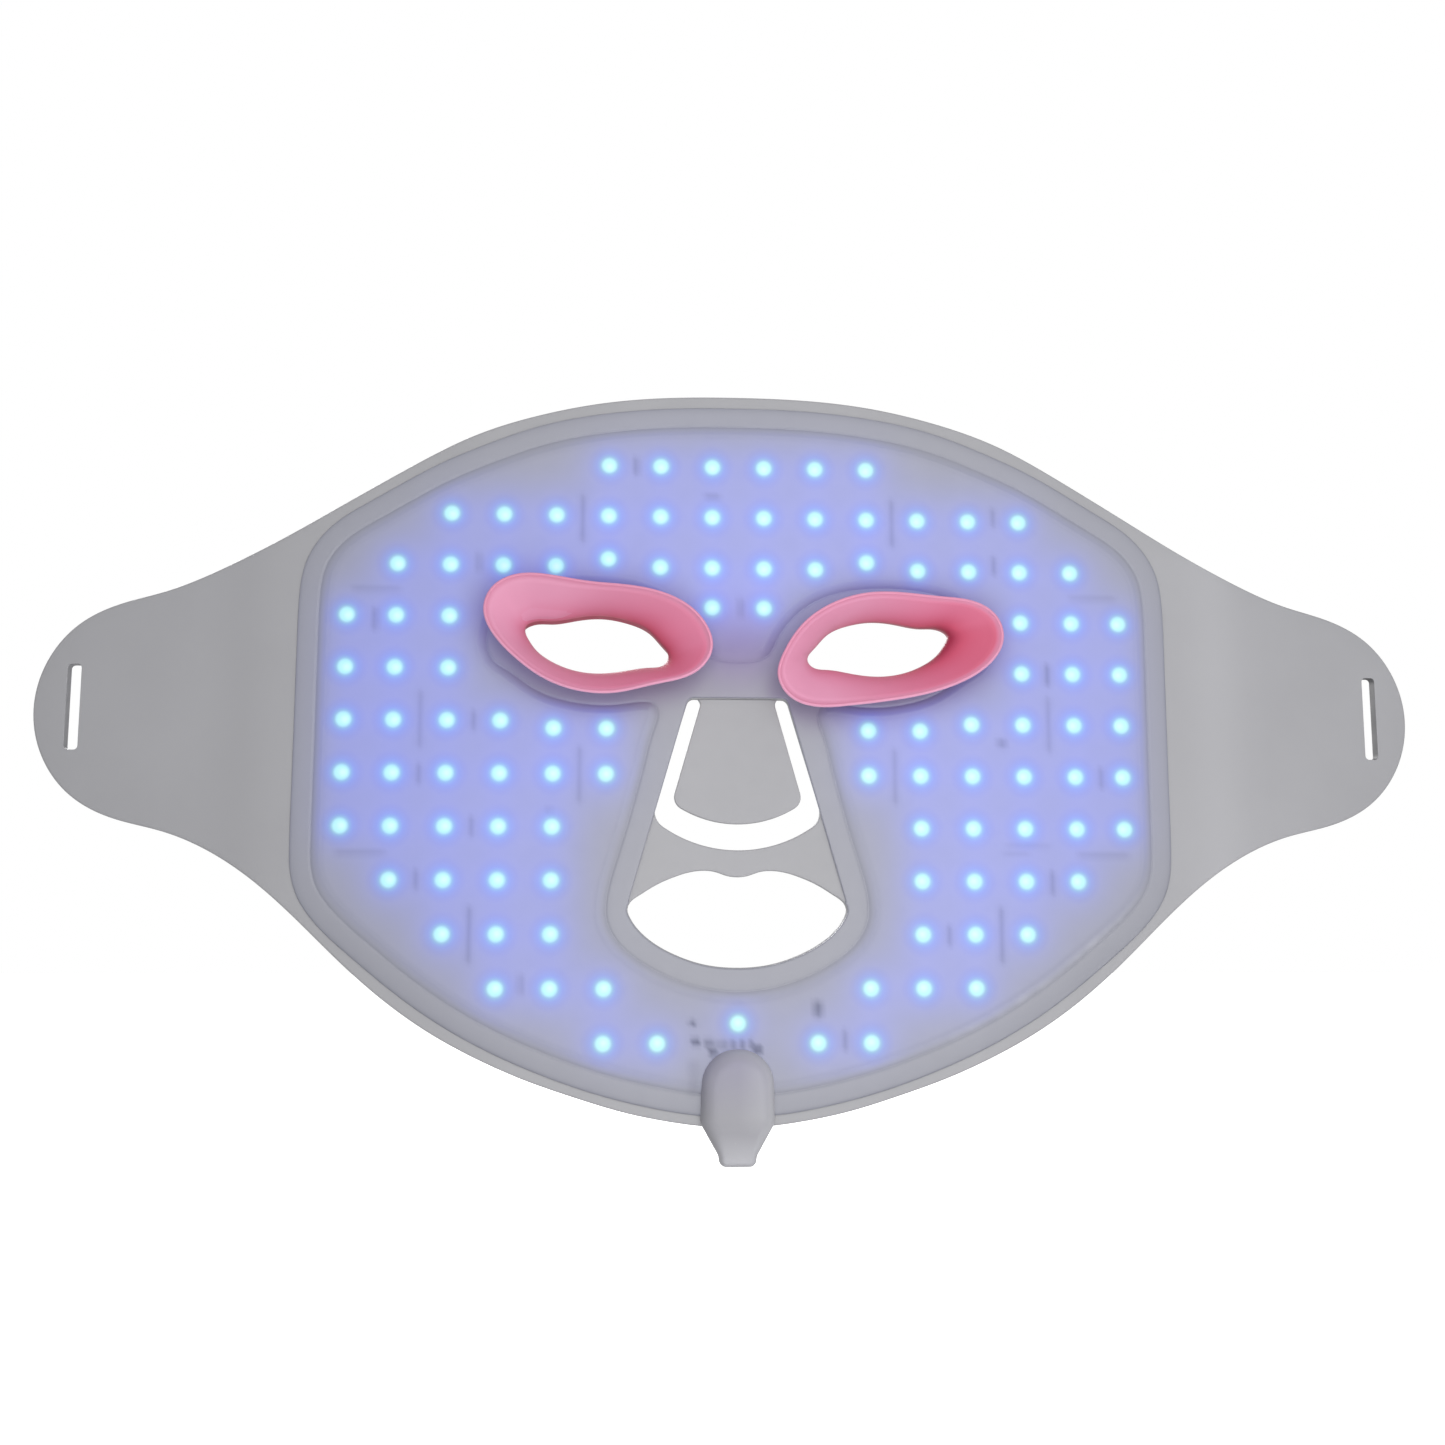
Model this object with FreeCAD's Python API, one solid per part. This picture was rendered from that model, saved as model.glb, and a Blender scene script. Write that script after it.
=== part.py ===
import FreeCAD, Part
import math
import os

# Flat flexible light-therapy face mask, standing upright. Millimetres.
# X runs to the right, Z runs up, the skin side faces -Y.
# The origin is on the skin-side face of the silicone sheet, between the eyes.

os.makedirs("parts", exist_ok=True)
V = FreeCAD.Vector

# Driving dimensions
SHEET = 2.5             # thickness of the grey silicone sheet
RECESS = 0.9            # depth of the pocket for the circuit in the sheet
FLANGE = 0.9            # thickness of the bonded border of the clear cover
COVER_FACE = 1.6        # height of the raised face of the cover above the sheet
COVER_ROOM = 0.6        # inside height under the raised face of the cover
BORDER = 5.5            # width of the bonded border
SLOPE = 2.7             # width of the sloped wall between border and raised face
POCKET = 8.7            # distance from the edge of the cover to the circuit pocket
POCKET_IN = 1.4         # distance from the inner border line to the circuit pocket
PITCH = 14.0            # spacing of the LEDs both ways
ROW_ONE = 48.3          # height of the top row of LEDs
END_COLUMN = 103.95     # the outermost column is pulled in to this distance
FOIL = 0.15             # reflector film
CIRCUIT = 0.25          # flexible circuit
LED = (3.5, 2.8, 0.8)   # LED package, wide, high, deep
WINDOW_R = 1.15         # light-emitting window of an LED
WINDOW_D = 0.35
CHIP = (1.25, 2.0, 0.5)  # chip resistor, wide, high, deep
HINGE_X = 119.0         # fold line of the side wings
HINGE_R = 1.95          # hollow beside the fold line
FLAP_Z = -15.9          # fold line of the nose flap
FLAP_R = 1.8
TIP_R = 29.6            # radius of the rounded wing tips
TIP_X, TIP_Z = 154.7, -19.5
SLOT_X, SLOT_Z = 174.2, -18.85
SLOT_W, SLOT_H = 3.5, 22.6
PAD_WALL = 1.3
PAD_GAP = 0.25
PAD_DEPTH = 10.5        # how far the rim of an eye pad stands off the sheet
SEAT = -0.95            # where the shoulder of a pad rests on the cover
JACK_R = 1.8            # bore of the power socket
JACK_Y = 0.3            # depth of the socket axis in the sheet

MID = SHEET / 2
FOIL_Y = RECESS - FOIL
CIRCUIT_Y = FOIL_Y - CIRCUIT
LED_Y = CIRCUIT_Y - LED[2]

# Right-hand halves of the outlines as (x, z), from the top down
SHEET_TOP = [(0, 68.9), (18, 68.5), (36, 66.7), (54, 62.8), (72, 56.5), (84, 50.2),
             (96, 43), (108, 35.6), (120, 28.2), (132, 21.4), (142, 16.3), (152, 12.2)]
TIP_ANGLES = [75, 50, 25, 0, -25, -50, -75]
SHEET_LOW = [(150, -51.3), (138, -56.3), (126, -64.2), (114, -74.7), (102, -86.1),
             (90, -96.1), (78, -104.1), (66, -110.4), (54, -115.5), (42, -119.6),
             (30, -123.2), (18, -125.7), (8, -127), (0, -127.3)]
COVER = [(0, 65.5), (18, 65.1), (36, 63.3), (54, 59.4), (70, 53.3), (80, 48.7),
         (90, 43), (100, 36.9), (107.5, 31.8), (112.6, 26.2), (115.6, 20), (116.8, 12),
         (117, 2), (117, -18), (117, -38), (117, -54), (116.3, -63), (114, -69.2),
         (110.4, -74.2), (100, -83.9), (90, -92), (80, -99.1), (70, -105), (60, -109.9),
         (48, -114.8), (36, -118.8), (24, -121.8), (12, -123.9), (0, -124.6)]
INNER = [(0, -5.2), (5, -4.8), (8.6, -2.8), (10.4, 0.6), (12.9, 5), (16.6, 9.4),
         (21.8, 13.1), (29, 16), (38, 17.2), (48, 16.5), (57, 13.8), (63.6, 8.8),
         (67, 1.8), (65.7, -5), (61, -10.6), (54, -14.6), (46, -17), (37, -17.8),
         (30.6, -18.5), (26, -20.9), (23.9, -25.5), (24.4, -32), (26.6, -40),
         (29.5, -50), (32.4, -59.5), (34.4, -67.5), (34.4, -74), (31.2, -80),
         (25.4, -84.8), (17.8, -88.8), (9.2, -91.5), (0, -92.5)]
MOUTH = [(0, -62.7), (3, -62.3), (5.6, -61.4), (8.6, -61), (12.5, -61.4), (17, -62.8),
         (22, -65.1), (26, -67.6), (28.3, -69.4), (29, -71.1), (28.4, -73.2),
         (26, -76.6), (22, -80), (16, -83.2), (8.5, -85.6), (0, -86.4)]

# Right eye opening, from its inner tip over the top and back
THROAT = [(18.8, -4.9), (20.6, -1.7), (24.5, 2.4), (30, 4.8), (36, 5.9), (43, 5.4),
          (50, 4.3), (55.2, 3.9), (56.9, 2.6), (56.2, 0.2), (53.6, -3.2), (50, -5.7),
          (44.5, -7.9), (38, -8.8), (30, -8), (24, -7.1), (19.9, -6.3)]
# Soft rims of the two pads, in the same order, as they hang
RIM_RIGHT = [(9.8, -9.9), (11.4, -3.9), (17.1, 4.4), (25.4, 9.9), (34.2, 12.4), (44, 12.5),
             (53.8, 11.6), (63.1, 10.2), (68.7, 6.2), (70.2, 0.2), (67, -5.9), (60.6, -10.6),
             (51.8, -14.1), (40.1, -16.6), (28.4, -18.1), (19.6, -18.4), (12.7, -15.6)]
RIM_LEFT = [(7.2, -2.8), (8.3, 2.2), (13.2, 8.1), (20.6, 11.8), (29.9, 13.6), (39.7, 14.4),
            (49.5, 15.9), (59.3, 15.9), (65.4, 12.2), (67.3, 6.7), (64.2, -0.8), (58.9, -6.3),
            (51.5, -11.6), (42.7, -14.8), (32.8, -15.3), (22, -12.9), (10.7, -8.9)]

# LED columns in half pitches from the centre, row by row from the forehead down
LED_ROWS = [(1, 3, 5), (1, 3, 5, 7, 9, 11), (1, 3, 5, 7, 9, 11, 13), (1, 11, 13, 15),
            (11, 13, 15), (5, 7, 9, 11, 13, 15), (5, 7, 9, 11, 13, 15),
            (7, 9, 11, 13, 15), (7, 9, 11, 13), (7, 9, 11), (5, 7, 9), (3, 5)]
# LEDs moved up or down to clear the eye openings, by row and column
LED_SHIFT = {(2, 5): 2.1, (3, 1): 3.1, (5, 5): -1.9, (5, 7): -1.9}
CHIN_LED = (0, -100.6)
# Series resistors sit midway between columns, given in whole pitches, row by row
CHIP_ROWS = [(2,), (1, 3, 5), (3, 5), (7,), (6,), (5, 7), (6,), (5,), (6,), (4,), (3, 4),
             (2,)]


def save(name, shape):
    """Write one subcomponent."""
    shape.exportStep("parts/" + name + ".step")


def both_halves(right):
    """Complete a loop from its right-hand half."""
    return right + [(-x, z) for x, z in reversed(right[1:-1])]


def mirrored(points):
    """The same loop on the other side of the centre line."""
    return [(-x, z) for x, z in points]


def curve_through(points):
    """Closed smooth curve through the points."""
    curve = Part.BSplineCurve()
    curve.interpolate([V(x, 0, z) for x, z in points], PeriodicFlag=True)
    return curve


def grown(points, distance):
    """The loop moved outward by a distance, or inward when it is negative."""
    curve = curve_through(points)
    knots = curve.getKnots()
    area = 0
    for (x1, z1), (x2, z2) in zip(points, points[1:] + points[:1]):
        area += x1 * z2 - x2 * z1
    side = distance if area > 0 else -distance
    result = []
    for start, end in zip(knots[:-1], knots[1:]):
        for u in (start, (start + end) / 2):
            place = curve.value(u)
            along = curve.tangent(u)[0]
            result.append((place.x + along.z * side, place.z - along.x * side))
    return result


def smooth_wire(points, y):
    """Smooth closed wire at one depth."""
    wire = Part.Wire([curve_through(points).toShape()])
    wire.translate(V(0, y, 0))
    return wire


def smooth_slab(points, y0, y1):
    """Slab with a smooth outline between two depths."""
    return Part.Face(smooth_wire(points, y0)).extrude(V(0, y1 - y0, 0))


def rounded_wire(corners, y):
    """Closed wire of straight sides; each corner is x, z and its radius."""
    ends = []
    count = len(corners)
    for i, (x, z, radius) in enumerate(corners):
        here = V(x, y, z)
        before = V(corners[i - 1][0], y, corners[i - 1][1]) - here
        after = V(corners[(i + 1) % count][0], y, corners[(i + 1) % count][1]) - here
        before.normalize()
        after.normalize()
        half = before.getAngle(after) / 2
        middle = before + after
        if radius == 0 or middle.Length < 1e-6:
            ends.append((here, None, here))
            continue
        middle.normalize()
        reach = radius / math.tan(half)
        crown = here + middle * (radius / math.sin(half) - radius)
        ends.append((here + before * reach, crown, here + after * reach))
    edges = []
    for i, (start, crown, end) in enumerate(ends):
        if crown is not None:
            edges.append(Part.Arc(start, crown, end).toShape())
        following = ends[(i + 1) % count][0]
        if (following - end).Length > 1e-5:
            edges.append(Part.makeLine(end, following))
    return Part.Wire(edges)


def rounded_slab(corners, y0, y1):
    """Slab with a rounded straight-sided outline between two depths."""
    return Part.Face(rounded_wire(corners, y0)).extrude(V(0, y1 - y0, 0))


def box(x0, x1, y0, y1, z0, z1):
    """Rectangular block between the limits."""
    return Part.makeBox(x1 - x0, y1 - y0, z1 - z0, V(x0, y0, z0))


def ring(points, inner, outer, y0, y1):
    """Band between two distances from a loop."""
    band = smooth_slab(grown(points, outer), y0, y1)
    return band.cut(smooth_slab(grown(points, inner), y0 - 0.1, y1 + 0.1))


tip = [(TIP_X + TIP_R * math.cos(math.radians(a)), TIP_Z + TIP_R * math.sin(math.radians(a)))
       for a in TIP_ANGLES]
sheet_loop = both_halves(SHEET_TOP + tip + SHEET_LOW)
cover_loop = both_halves(COVER)
inner_loop = both_halves(INNER)
mouth_loop = both_halves(MOUTH)

# Outline of the cut round the nose flap, and of the flap itself
NOSE_CUT = [(-13.2, -15.2, 2), (13.2, -15.2, 2), (22.9, -47.4, 5), (0, -62.7, 35),
            (-22.9, -47.4, 5)]
FLAP = [(-9.9, FLAP_Z, 0), (9.9, FLAP_Z, 0), (17.5, -43.1, 3.5), (0, -53.4, 29.6),
        (-17.5, -43.1, 3.5)]
COVER_WINDOW = [(-13.2, -15, 2), (13.2, -15, 2), (28.8, -69.4, 1), (22, -75, 0),
                (-22, -75, 0), (-28.8, -69.4, 1)]
# Notch at the chin where the power socket comes through
NOTCH = box(-4.6, 4.6, -3, 4, -130, -113.5)

# Silicone sheet: centre, two wings and the nose flap
sheet = smooth_slab(sheet_loop, 0, SHEET)
eye_holes = [smooth_slab(grown(loop, PAD_WALL + PAD_GAP), -3, SHEET + 3)
             for loop in (THROAT, mirrored(THROAT))]
pocket = smooth_slab(grown(cover_loop, -POCKET), -COVER_ROOM, RECESS)
pocket = pocket.cut(smooth_slab(grown(inner_loop, POCKET_IN), -2, 2))

centre = sheet.common(box(-HINGE_X, HINGE_X, -1, 4, -140, 80))
for side in (-1, 1):
    centre = centre.cut(Part.makeCylinder(HINGE_R, 220, V(side * HINGE_X, MID, -140)))
bead = Part.Compound([ring(loop, PAD_WALL + PAD_GAP, 3.4, SHEET, SHEET + 0.8)
                      for loop in (THROAT, mirrored(THROAT))])
centre = centre.fuse(bead.Solids)
for hole in eye_holes:
    centre = centre.cut(hole)
centre = centre.cut(smooth_slab(mouth_loop, -1, 4))
centre = centre.cut(rounded_slab(NOSE_CUT, -1, 4))
centre = centre.cut(Part.makeCylinder(FLAP_R, 20.6, V(-10.3, MID, FLAP_Z), V(1, 0, 0)))
centre = centre.cut(pocket)
centre = centre.cut(NOTCH)
outer_bead = ring(cover_loop, -3.4, -2, 0, 0.4).cut(NOTCH)
inner_bead = ring(inner_loop, -2.8, -1.6, 0, 0.4)
centre = centre.cut(outer_bead).cut(inner_bead)
centre = centre.cut(ring(cover_loop, -2.4, -1.2, SHEET - 0.5, SHEET + 1))
stiffener = rounded_slab([(-10, -112.4, 1), (10, -112.4, 1), (10, -102.5, 1),
                          (-10, -102.5, 1)], RECESS, RECESS + 0.4)
centre = centre.cut(stiffener)
save("back_shell", centre)
save("outer_seal", outer_bead)
save("inner_seal", inner_bead)
save("chin_stiffener", stiffener)

wing = sheet.common(box(HINGE_X, 200, -1, 4, -140, 80))
wing = wing.fuse(sheet.common(Part.makeCylinder(MID, 220, V(HINGE_X, MID, -140))))
slot_half_w, slot_half_h = SLOT_W / 2, SLOT_H / 2
slot_corners = [(SLOT_X - slot_half_w, SLOT_Z - slot_half_h, 1),
                (SLOT_X + slot_half_w, SLOT_Z - slot_half_h, 1),
                (SLOT_X + slot_half_w, SLOT_Z + slot_half_h, 1),
                (SLOT_X - slot_half_w, SLOT_Z + slot_half_h, 1)]
frame_corners = [(x + math.copysign(2.2, x - SLOT_X), z + math.copysign(2.2, z - SLOT_Z), 3)
                 for x, z, _ in slot_corners]
slot_frame = rounded_slab(frame_corners, SHEET, SHEET + 0.7)
slot_hole = rounded_slab(slot_corners, -1, 5)
wing = wing.fuse(slot_frame).cut(slot_hole).removeSplitter()
save("right_wing", wing)
save("left_wing", wing.mirror(V(0, 0, 0), V(1, 0, 0)))

flap = rounded_slab(FLAP, 0, SHEET)
flap = flap.fuse(Part.makeCylinder(MID, 19.8, V(-9.9, MID, FLAP_Z), V(1, 0, 0)))
save("nose_flap", flap.removeSplitter())

# Clear cover: bonded border, sloped walls and raised face over the LEDs
cover = smooth_slab(cover_loop, -FLANGE, 0)
foot = smooth_wire(grown(cover_loop, -BORDER), -FLANGE)
brow = smooth_wire(grown(cover_loop, -BORDER - SLOPE), -COVER_FACE)
raised = Part.makeLoft([foot, brow], True, True)
steep = SLOPE / (COVER_FACE - FLANGE)
over = COVER_FACE + 0.2
well = Part.makeLoft([smooth_wire(grown(inner_loop, 0), -FLANGE),
                      smooth_wire(grown(inner_loop, steep * (over - FLANGE)), -over)],
                     True, True)
cover = cover.fuse(raised).cut(well)
for hole in eye_holes:
    cover = cover.cut(hole)
cover = cover.cut(rounded_slab(COVER_WINDOW, -3, 1))
cover = cover.cut(smooth_slab(grown(mouth_loop, 0.2), -3, 1))
cover = cover.cut(pocket).cut(NOTCH)
save("inner_cover", cover.removeSplitter())


def circuit_outline():
    """Stepped outline of the flexible circuit, following the LED rows."""
    right = [(42, 54.8), (42, 41.3), (84, 41.3), (84, 27.3), (98, 27.3), (98, 13.3),
             (108, 13.3), (108, -56.7), (98, -56.7), (98, -70.7), (84, -70.7),
             (84, -84.7), (70, -84.7), (70, -98.7), (42, -98.7), (42, -112.7)]
    corners = right + [(-x, z) for x, z in reversed(right)]
    return [(x, z, 3) for x, z in corners]


panel = rounded_slab(circuit_outline(), CIRCUIT_Y, RECESS)
panel = panel.common(smooth_slab(grown(cover_loop, -POCKET - 0.3), -1, 2))
panel = panel.cut(smooth_slab(grown(inner_loop, POCKET_IN + 0.3), -1, 2))
film = panel.common(box(-120, 120, FOIL_Y, RECESS, -130, 80))
circuit = panel.common(box(-120, 120, CIRCUIT_Y, FOIL_Y, -130, 80))
# Relief slits that let the circuit bend with the silicone
SLITS_UP = [(42, 27, 40), (84, -29, -14), (42, -43.2, -28.6), (70, -85, -70.5)]
SLITS_ACROSS = [(90, 98, 13.3), (90, 98, -56.7)]
for side in (-1, 1):
    for x, z0, z1 in SLITS_UP:
        circuit = circuit.cut(box(side * x - 0.5, side * x + 0.5, 0, 1, z0, z1))
    for x0, x1, z in SLITS_ACROSS:
        low, high = sorted((side * x0, side * x1))
        circuit = circuit.cut(box(low, high, 0, 1, z - 0.5, z + 0.5))
save("reflector_film", film)
save("flex_circuit", circuit)


def led_places():
    """Centres of the LEDs, sorted into the four zones of the mask."""
    zones = {"forehead": [], "left_cheek": [], "right_cheek": [], "chin": [CHIN_LED]}
    for row, columns in enumerate(LED_ROWS):
        for column in columns:
            x = min(column * PITCH / 2, END_COLUMN)
            z = ROW_ONE - row * PITCH + LED_SHIFT.get((row, column), 0)
            for side in (-1, 1):
                if row < 3 or (row == 3 and column == 1):
                    zone = "forehead"
                elif row == 11:
                    zone = "chin"
                elif side < 0:
                    zone = "left_cheek"
                else:
                    zone = "right_cheek"
                zones[zone].append((side * x, z))
    return zones


def led_package(x, z):
    """White LED package with a round recess for its window."""
    body = box(x - LED[0] / 2, x + LED[0] / 2, LED_Y, CIRCUIT_Y, z - LED[1] / 2,
               z + LED[1] / 2)
    return body.cut(led_window(x, z))


def led_window(x, z):
    """Clear round window of one LED."""
    return Part.makeCylinder(WINDOW_R, WINDOW_D, V(x, LED_Y, z), V(0, 1, 0))


for zone, places in led_places().items():
    save(zone + "_leds", Part.Compound([led_package(x, z) for x, z in places]))
    save(zone + "_led_windows", Part.Compound([led_window(x, z) for x, z in places]))


def chip_places():
    """Centres of the series resistors, right-hand side first."""
    places = []
    for row, columns in enumerate(CHIP_ROWS):
        for column in columns:
            x = min(column * PITCH, 97.5)
            places.append((x, ROW_ONE - row * PITCH))
    return places + [(-x, z) for x, z in places] + [(0, 9.4)]


def chip_body(x, z):
    """Ceramic middle of a chip part."""
    wide, high, deep = CHIP
    return box(x - wide / 2, x + wide / 2, CIRCUIT_Y - deep, CIRCUIT_Y,
               z - high / 2 + 0.35, z + high / 2 - 0.35)


def chip_ends(x, z):
    """Two soldered end caps of a chip part."""
    wide, high, deep = CHIP
    caps = []
    for low in (z - high / 2, z + high / 2 - 0.35):
        caps.append(box(x - wide / 2, x + wide / 2, CIRCUIT_Y - deep, CIRCUIT_Y, low,
                        low + 0.35))
    return caps


chips = chip_places()
save("series_resistors", Part.Compound([chip_body(x, z) for x, z in chips]))
caps = []
for x, z in chips:
    caps += chip_ends(x, z)
save("resistor_end_caps", Part.Compound(caps))

# Other parts on the circuit
diode = box(19.7, 22.3, CIRCUIT_Y - 0.95, CIRCUIT_Y, -98.6, -94.4)
diode = diode.cut(box(19, 23, CIRCUIT_Y - 1, CIRCUIT_Y - 0.75, -95.6, -95.2))
save("protection_diode", diode)
capacitors = [box(x - 0.8, x + 0.8, CIRCUIT_Y - 0.8, CIRCUIT_Y, z - 0.55, z + 0.55)
              for x, z in ((-12.2, -100.4), (-11, -105.8), (71.2, -27.6), (-7, 40.1))]
save("filter_capacitors", Part.Compound(capacitors))
thermistor = box(70.2, 72.2, CIRCUIT_Y - 0.6, CIRCUIT_Y, -26.3, -25.2)
save("thermistor", thermistor)
PAD_X = [-6.7, -3.6, -0.5, 2.6, 5.7]
pads = [box(x - 0.9, x + 0.9, CIRCUIT_Y - 0.1, CIRCUIT_Y, -107.5, -104.9) for x in PAD_X]
save("solder_pads", Part.Compound(pads))

# Power socket at the chin: housing, sleeve, two contacts and three leads
SOCKET_LOW, SOCKET_HIGH = -135.3, -117.0
housing = box(-3.7, 3.7, JACK_Y - 2.7, JACK_Y + 2.7, SOCKET_LOW, SOCKET_HIGH)
bore = Part.makeCylinder(JACK_R, 14, V(0, JACK_Y, SOCKET_LOW), V(0, 0, 1))
sleeve_seat = Part.makeCylinder(2.4, 4.2, V(0, JACK_Y, SOCKET_LOW), V(0, 0, 1))
contact_room = box(-2.3, 2.3, JACK_Y - 0.85, JACK_Y + 0.85, -129.5, SOCKET_HIGH + 1)
wall = box(-1.95, 1.95, JACK_Y - 2, JACK_Y + 2, -121.3, SOCKET_HIGH + 2)
sleeve_room = box(-0.85, 0.85, JACK_Y - 2.4, JACK_Y - 1.95, SOCKET_LOW + 1, SOCKET_HIGH + 1)
housing = housing.cut(bore).cut(sleeve_seat).cut(contact_room.cut(wall)).cut(sleeve_room)
save("socket_housing", housing)
sleeve = Part.makeCylinder(2.4, 4.2, V(0, JACK_Y, SOCKET_LOW), V(0, 0, 1))
sleeve_tail = box(-0.8, 0.8, JACK_Y - 2.35, JACK_Y - 2, SOCKET_LOW + 1.05, -115.8)
sleeve = sleeve.fuse(sleeve_tail)
sleeve = sleeve.cut(Part.makeCylinder(JACK_R, 6, V(0, JACK_Y, SOCKET_LOW - 1), V(0, 0, 1)))
save("socket_sleeve", sleeve)
contacts = []
for side in (-1, 1):
    low, high = sorted((side * 1.97, side * 2.25))
    contacts.append(box(low, high, JACK_Y - 0.8, JACK_Y + 0.8, -128.2 + side, -115.8))
save("socket_contacts", Part.Compound(contacts))


def lead(points, radius):
    """Round insulated lead along a bent line."""
    shape = None
    for start, end in zip(points[:-1], points[1:]):
        run = Part.makeCylinder(radius, (end - start).Length, start, end - start)
        shape = run if shape is None else shape.fuse(run)
    for joint in points[1:-1]:
        shape = shape.fuse(Part.makeSphere(radius, joint))
    return shape


LEAD_R = 0.3
LEAD_Y = CIRCUIT_Y - 0.1 - LEAD_R
leads = [lead([V(-2.4, 0.5, -115.5), V(-3.4, LEAD_Y, -112.6), V(-3.6, LEAD_Y, -106)], LEAD_R),
         lead([V(2.4, 0.5, -115.5), V(2.6, LEAD_Y, -112.6), V(2.6, LEAD_Y, -106)], LEAD_R),
         lead([V(-0.4, -1.7, -115.5), V(-0.5, LEAD_Y, -113.2), V(-0.5, LEAD_Y, -106)], LEAD_R)]
save("lead_wires", Part.Compound(leads))

# Soft boot moulded over the socket and the edge of the mask
boot_front = [(-9.4, -107, 9.3), (9.4, -107, 9.3), (9.6, -126.2, 3), (4.75, -134.4, 1.5),
              (4.75, -136.9, 1.7), (-4.75, -136.9, 1.7), (-4.75, -134.4, 1.5),
              (-9.6, -126.2, 3)]
boot = rounded_slab(boot_front, -8, 8)
side_view = [(-5.6, -107), (-5.6, -122), (-3.6, -134), (-3.6, -138), (4.2, -138),
             (4.2, -134), (4.9, -122), (4.9, -107)]
profile = Part.Face(Part.makePolygon([V(-12, y, z) for y, z in side_view + side_view[:1]]))
boot = boot.common(profile.extrude(V(24, 0, 0)))
across = [(-9.7, -5.6, 4), (9.7, -5.6, 4), (9.7, 4.9, 2.5), (-9.7, 4.9, 2.5)]
section = rounded_wire(across, 0)
section.rotate(V(0, 0, 0), V(1, 0, 0), -90)
section.translate(V(0, 0, -140))
boot = boot.common(Part.Face(section).extrude(V(0, 0, 40)))
core = box(-4.5, 4.5, -6, 6, -127.6, -114.6)
gap = 0.05
slot_steps = [box(-12, 12, -COVER_FACE - gap, SHEET + gap, -119.1, -105),
              box(-12, 12, -FLANGE - 0.35, SHEET + gap, -125, -119),
              box(-12, 12, -gap, SHEET + gap, -127.4, -124.9)]
for step in slot_steps:
    boot = boot.cut(step.cut(core))
boot = boot.cut(box(-3.75, 3.75, JACK_Y - 2.75, JACK_Y + 2.75, SOCKET_LOW - gap, -114))
boot = boot.cut(Part.makeCylinder(JACK_R + 0.2, 6, V(0, JACK_Y, -139), V(0, 0, 1)))
save("inlet_boot", boot)


def between(low, high, share):
    """The loop a share of the way from one loop to another."""
    return [(a + (c - a) * share, b + (d - b) * share) for (a, b), (c, d) in zip(low, high)]


def skinned(wires):
    """Solid whose skin runs from wire to wire and back to the first."""
    faces = []
    for one, two in zip(wires, wires[1:] + wires[:1]):
        if abs(one.BoundBox.Center.y - two.BoundBox.Center.y) < 1e-6:
            faces.append(Part.makeFace([one, two], "Part::FaceMakerBullseye"))
        else:
            faces.append(Part.makeRuledSurface(one, two))
    skin = Part.Compound(faces)
    skin.sewShape()
    solid = Part.Solid(skin.Shells[0])
    if solid.Volume < 0:
        solid.reverse()
    return solid


def eye_pad(throat, rim):
    """Soft funnel that plugs into an eye opening and flares toward the skin."""
    back = SHEET + 0.7
    outline = [(grown(throat, PAD_WALL), back), (grown(throat, PAD_WALL), SEAT),
               (grown(throat, PAD_WALL + 2.2), SEAT), (grown(throat, PAD_WALL + 2.2), SEAT - 1)]
    inner_wall = [(grown(throat, 0), back), (grown(throat, 0), SEAT)]
    for share in (0.12, 0.3, 0.5, 0.7, 0.86, 1):
        loop = between(throat, rim, share ** 1.35)
        y = SEAT - (PAD_DEPTH + SEAT) * share
        outline.append((grown(loop, PAD_WALL * (1 - share)), y))
        inner_wall.append((grown(loop, -0.9 * share), y))
    return skinned([smooth_wire(loop, y) for loop, y in outline + inner_wall[::-1]])


save("right_eye_pad", eye_pad(THROAT, RIM_RIGHT))
save("left_eye_pad", eye_pad(mirrored(THROAT), mirrored(RIM_LEFT)))
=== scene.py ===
import math

import bpy
import numpy as np
from mathutils import Matrix, Vector
from mathutils.geometry import delaunay_2d_cdt
from mathutils.kdtree import KDTree


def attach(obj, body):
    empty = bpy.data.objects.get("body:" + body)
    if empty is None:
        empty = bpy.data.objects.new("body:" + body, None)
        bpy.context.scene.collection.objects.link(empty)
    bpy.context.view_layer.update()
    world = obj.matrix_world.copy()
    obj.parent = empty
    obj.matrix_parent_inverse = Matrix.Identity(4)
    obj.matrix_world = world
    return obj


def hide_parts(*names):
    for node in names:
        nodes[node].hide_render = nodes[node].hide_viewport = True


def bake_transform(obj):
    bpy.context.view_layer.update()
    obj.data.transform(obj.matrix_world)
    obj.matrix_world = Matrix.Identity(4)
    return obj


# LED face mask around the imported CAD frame. Shapes are worked out in millimetres, x to the right
# and z up as the skin side is seen, and made in metres.

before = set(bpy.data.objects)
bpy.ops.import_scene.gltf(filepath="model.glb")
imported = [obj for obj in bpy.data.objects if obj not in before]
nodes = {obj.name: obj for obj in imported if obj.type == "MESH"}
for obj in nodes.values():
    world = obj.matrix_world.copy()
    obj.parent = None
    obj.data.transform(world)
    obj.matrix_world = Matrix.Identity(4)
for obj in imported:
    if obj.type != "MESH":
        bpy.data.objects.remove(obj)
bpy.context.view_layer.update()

MM = 0.001
SHEET = 2.5             # thickness of the grey silicone sheet
RECESS = 0.9            # depth of the pocket for the circuit in the sheet
FLANGE = 0.9            # thickness of the bonded border of the cover
COVER_ROOM = 0.6        # inside height under the raised face
BORDER = 5.5            # width of the bonded border
SLOPE = 2.7             # width of the sloped wall inside the border
POCKET = 8.7            # edge of the cover to the pocket
POCKET_IN = 1.4         # inner border line to the pocket
PAD_WALL = 1.3          # thickness of an eye pad's wall in its opening
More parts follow.
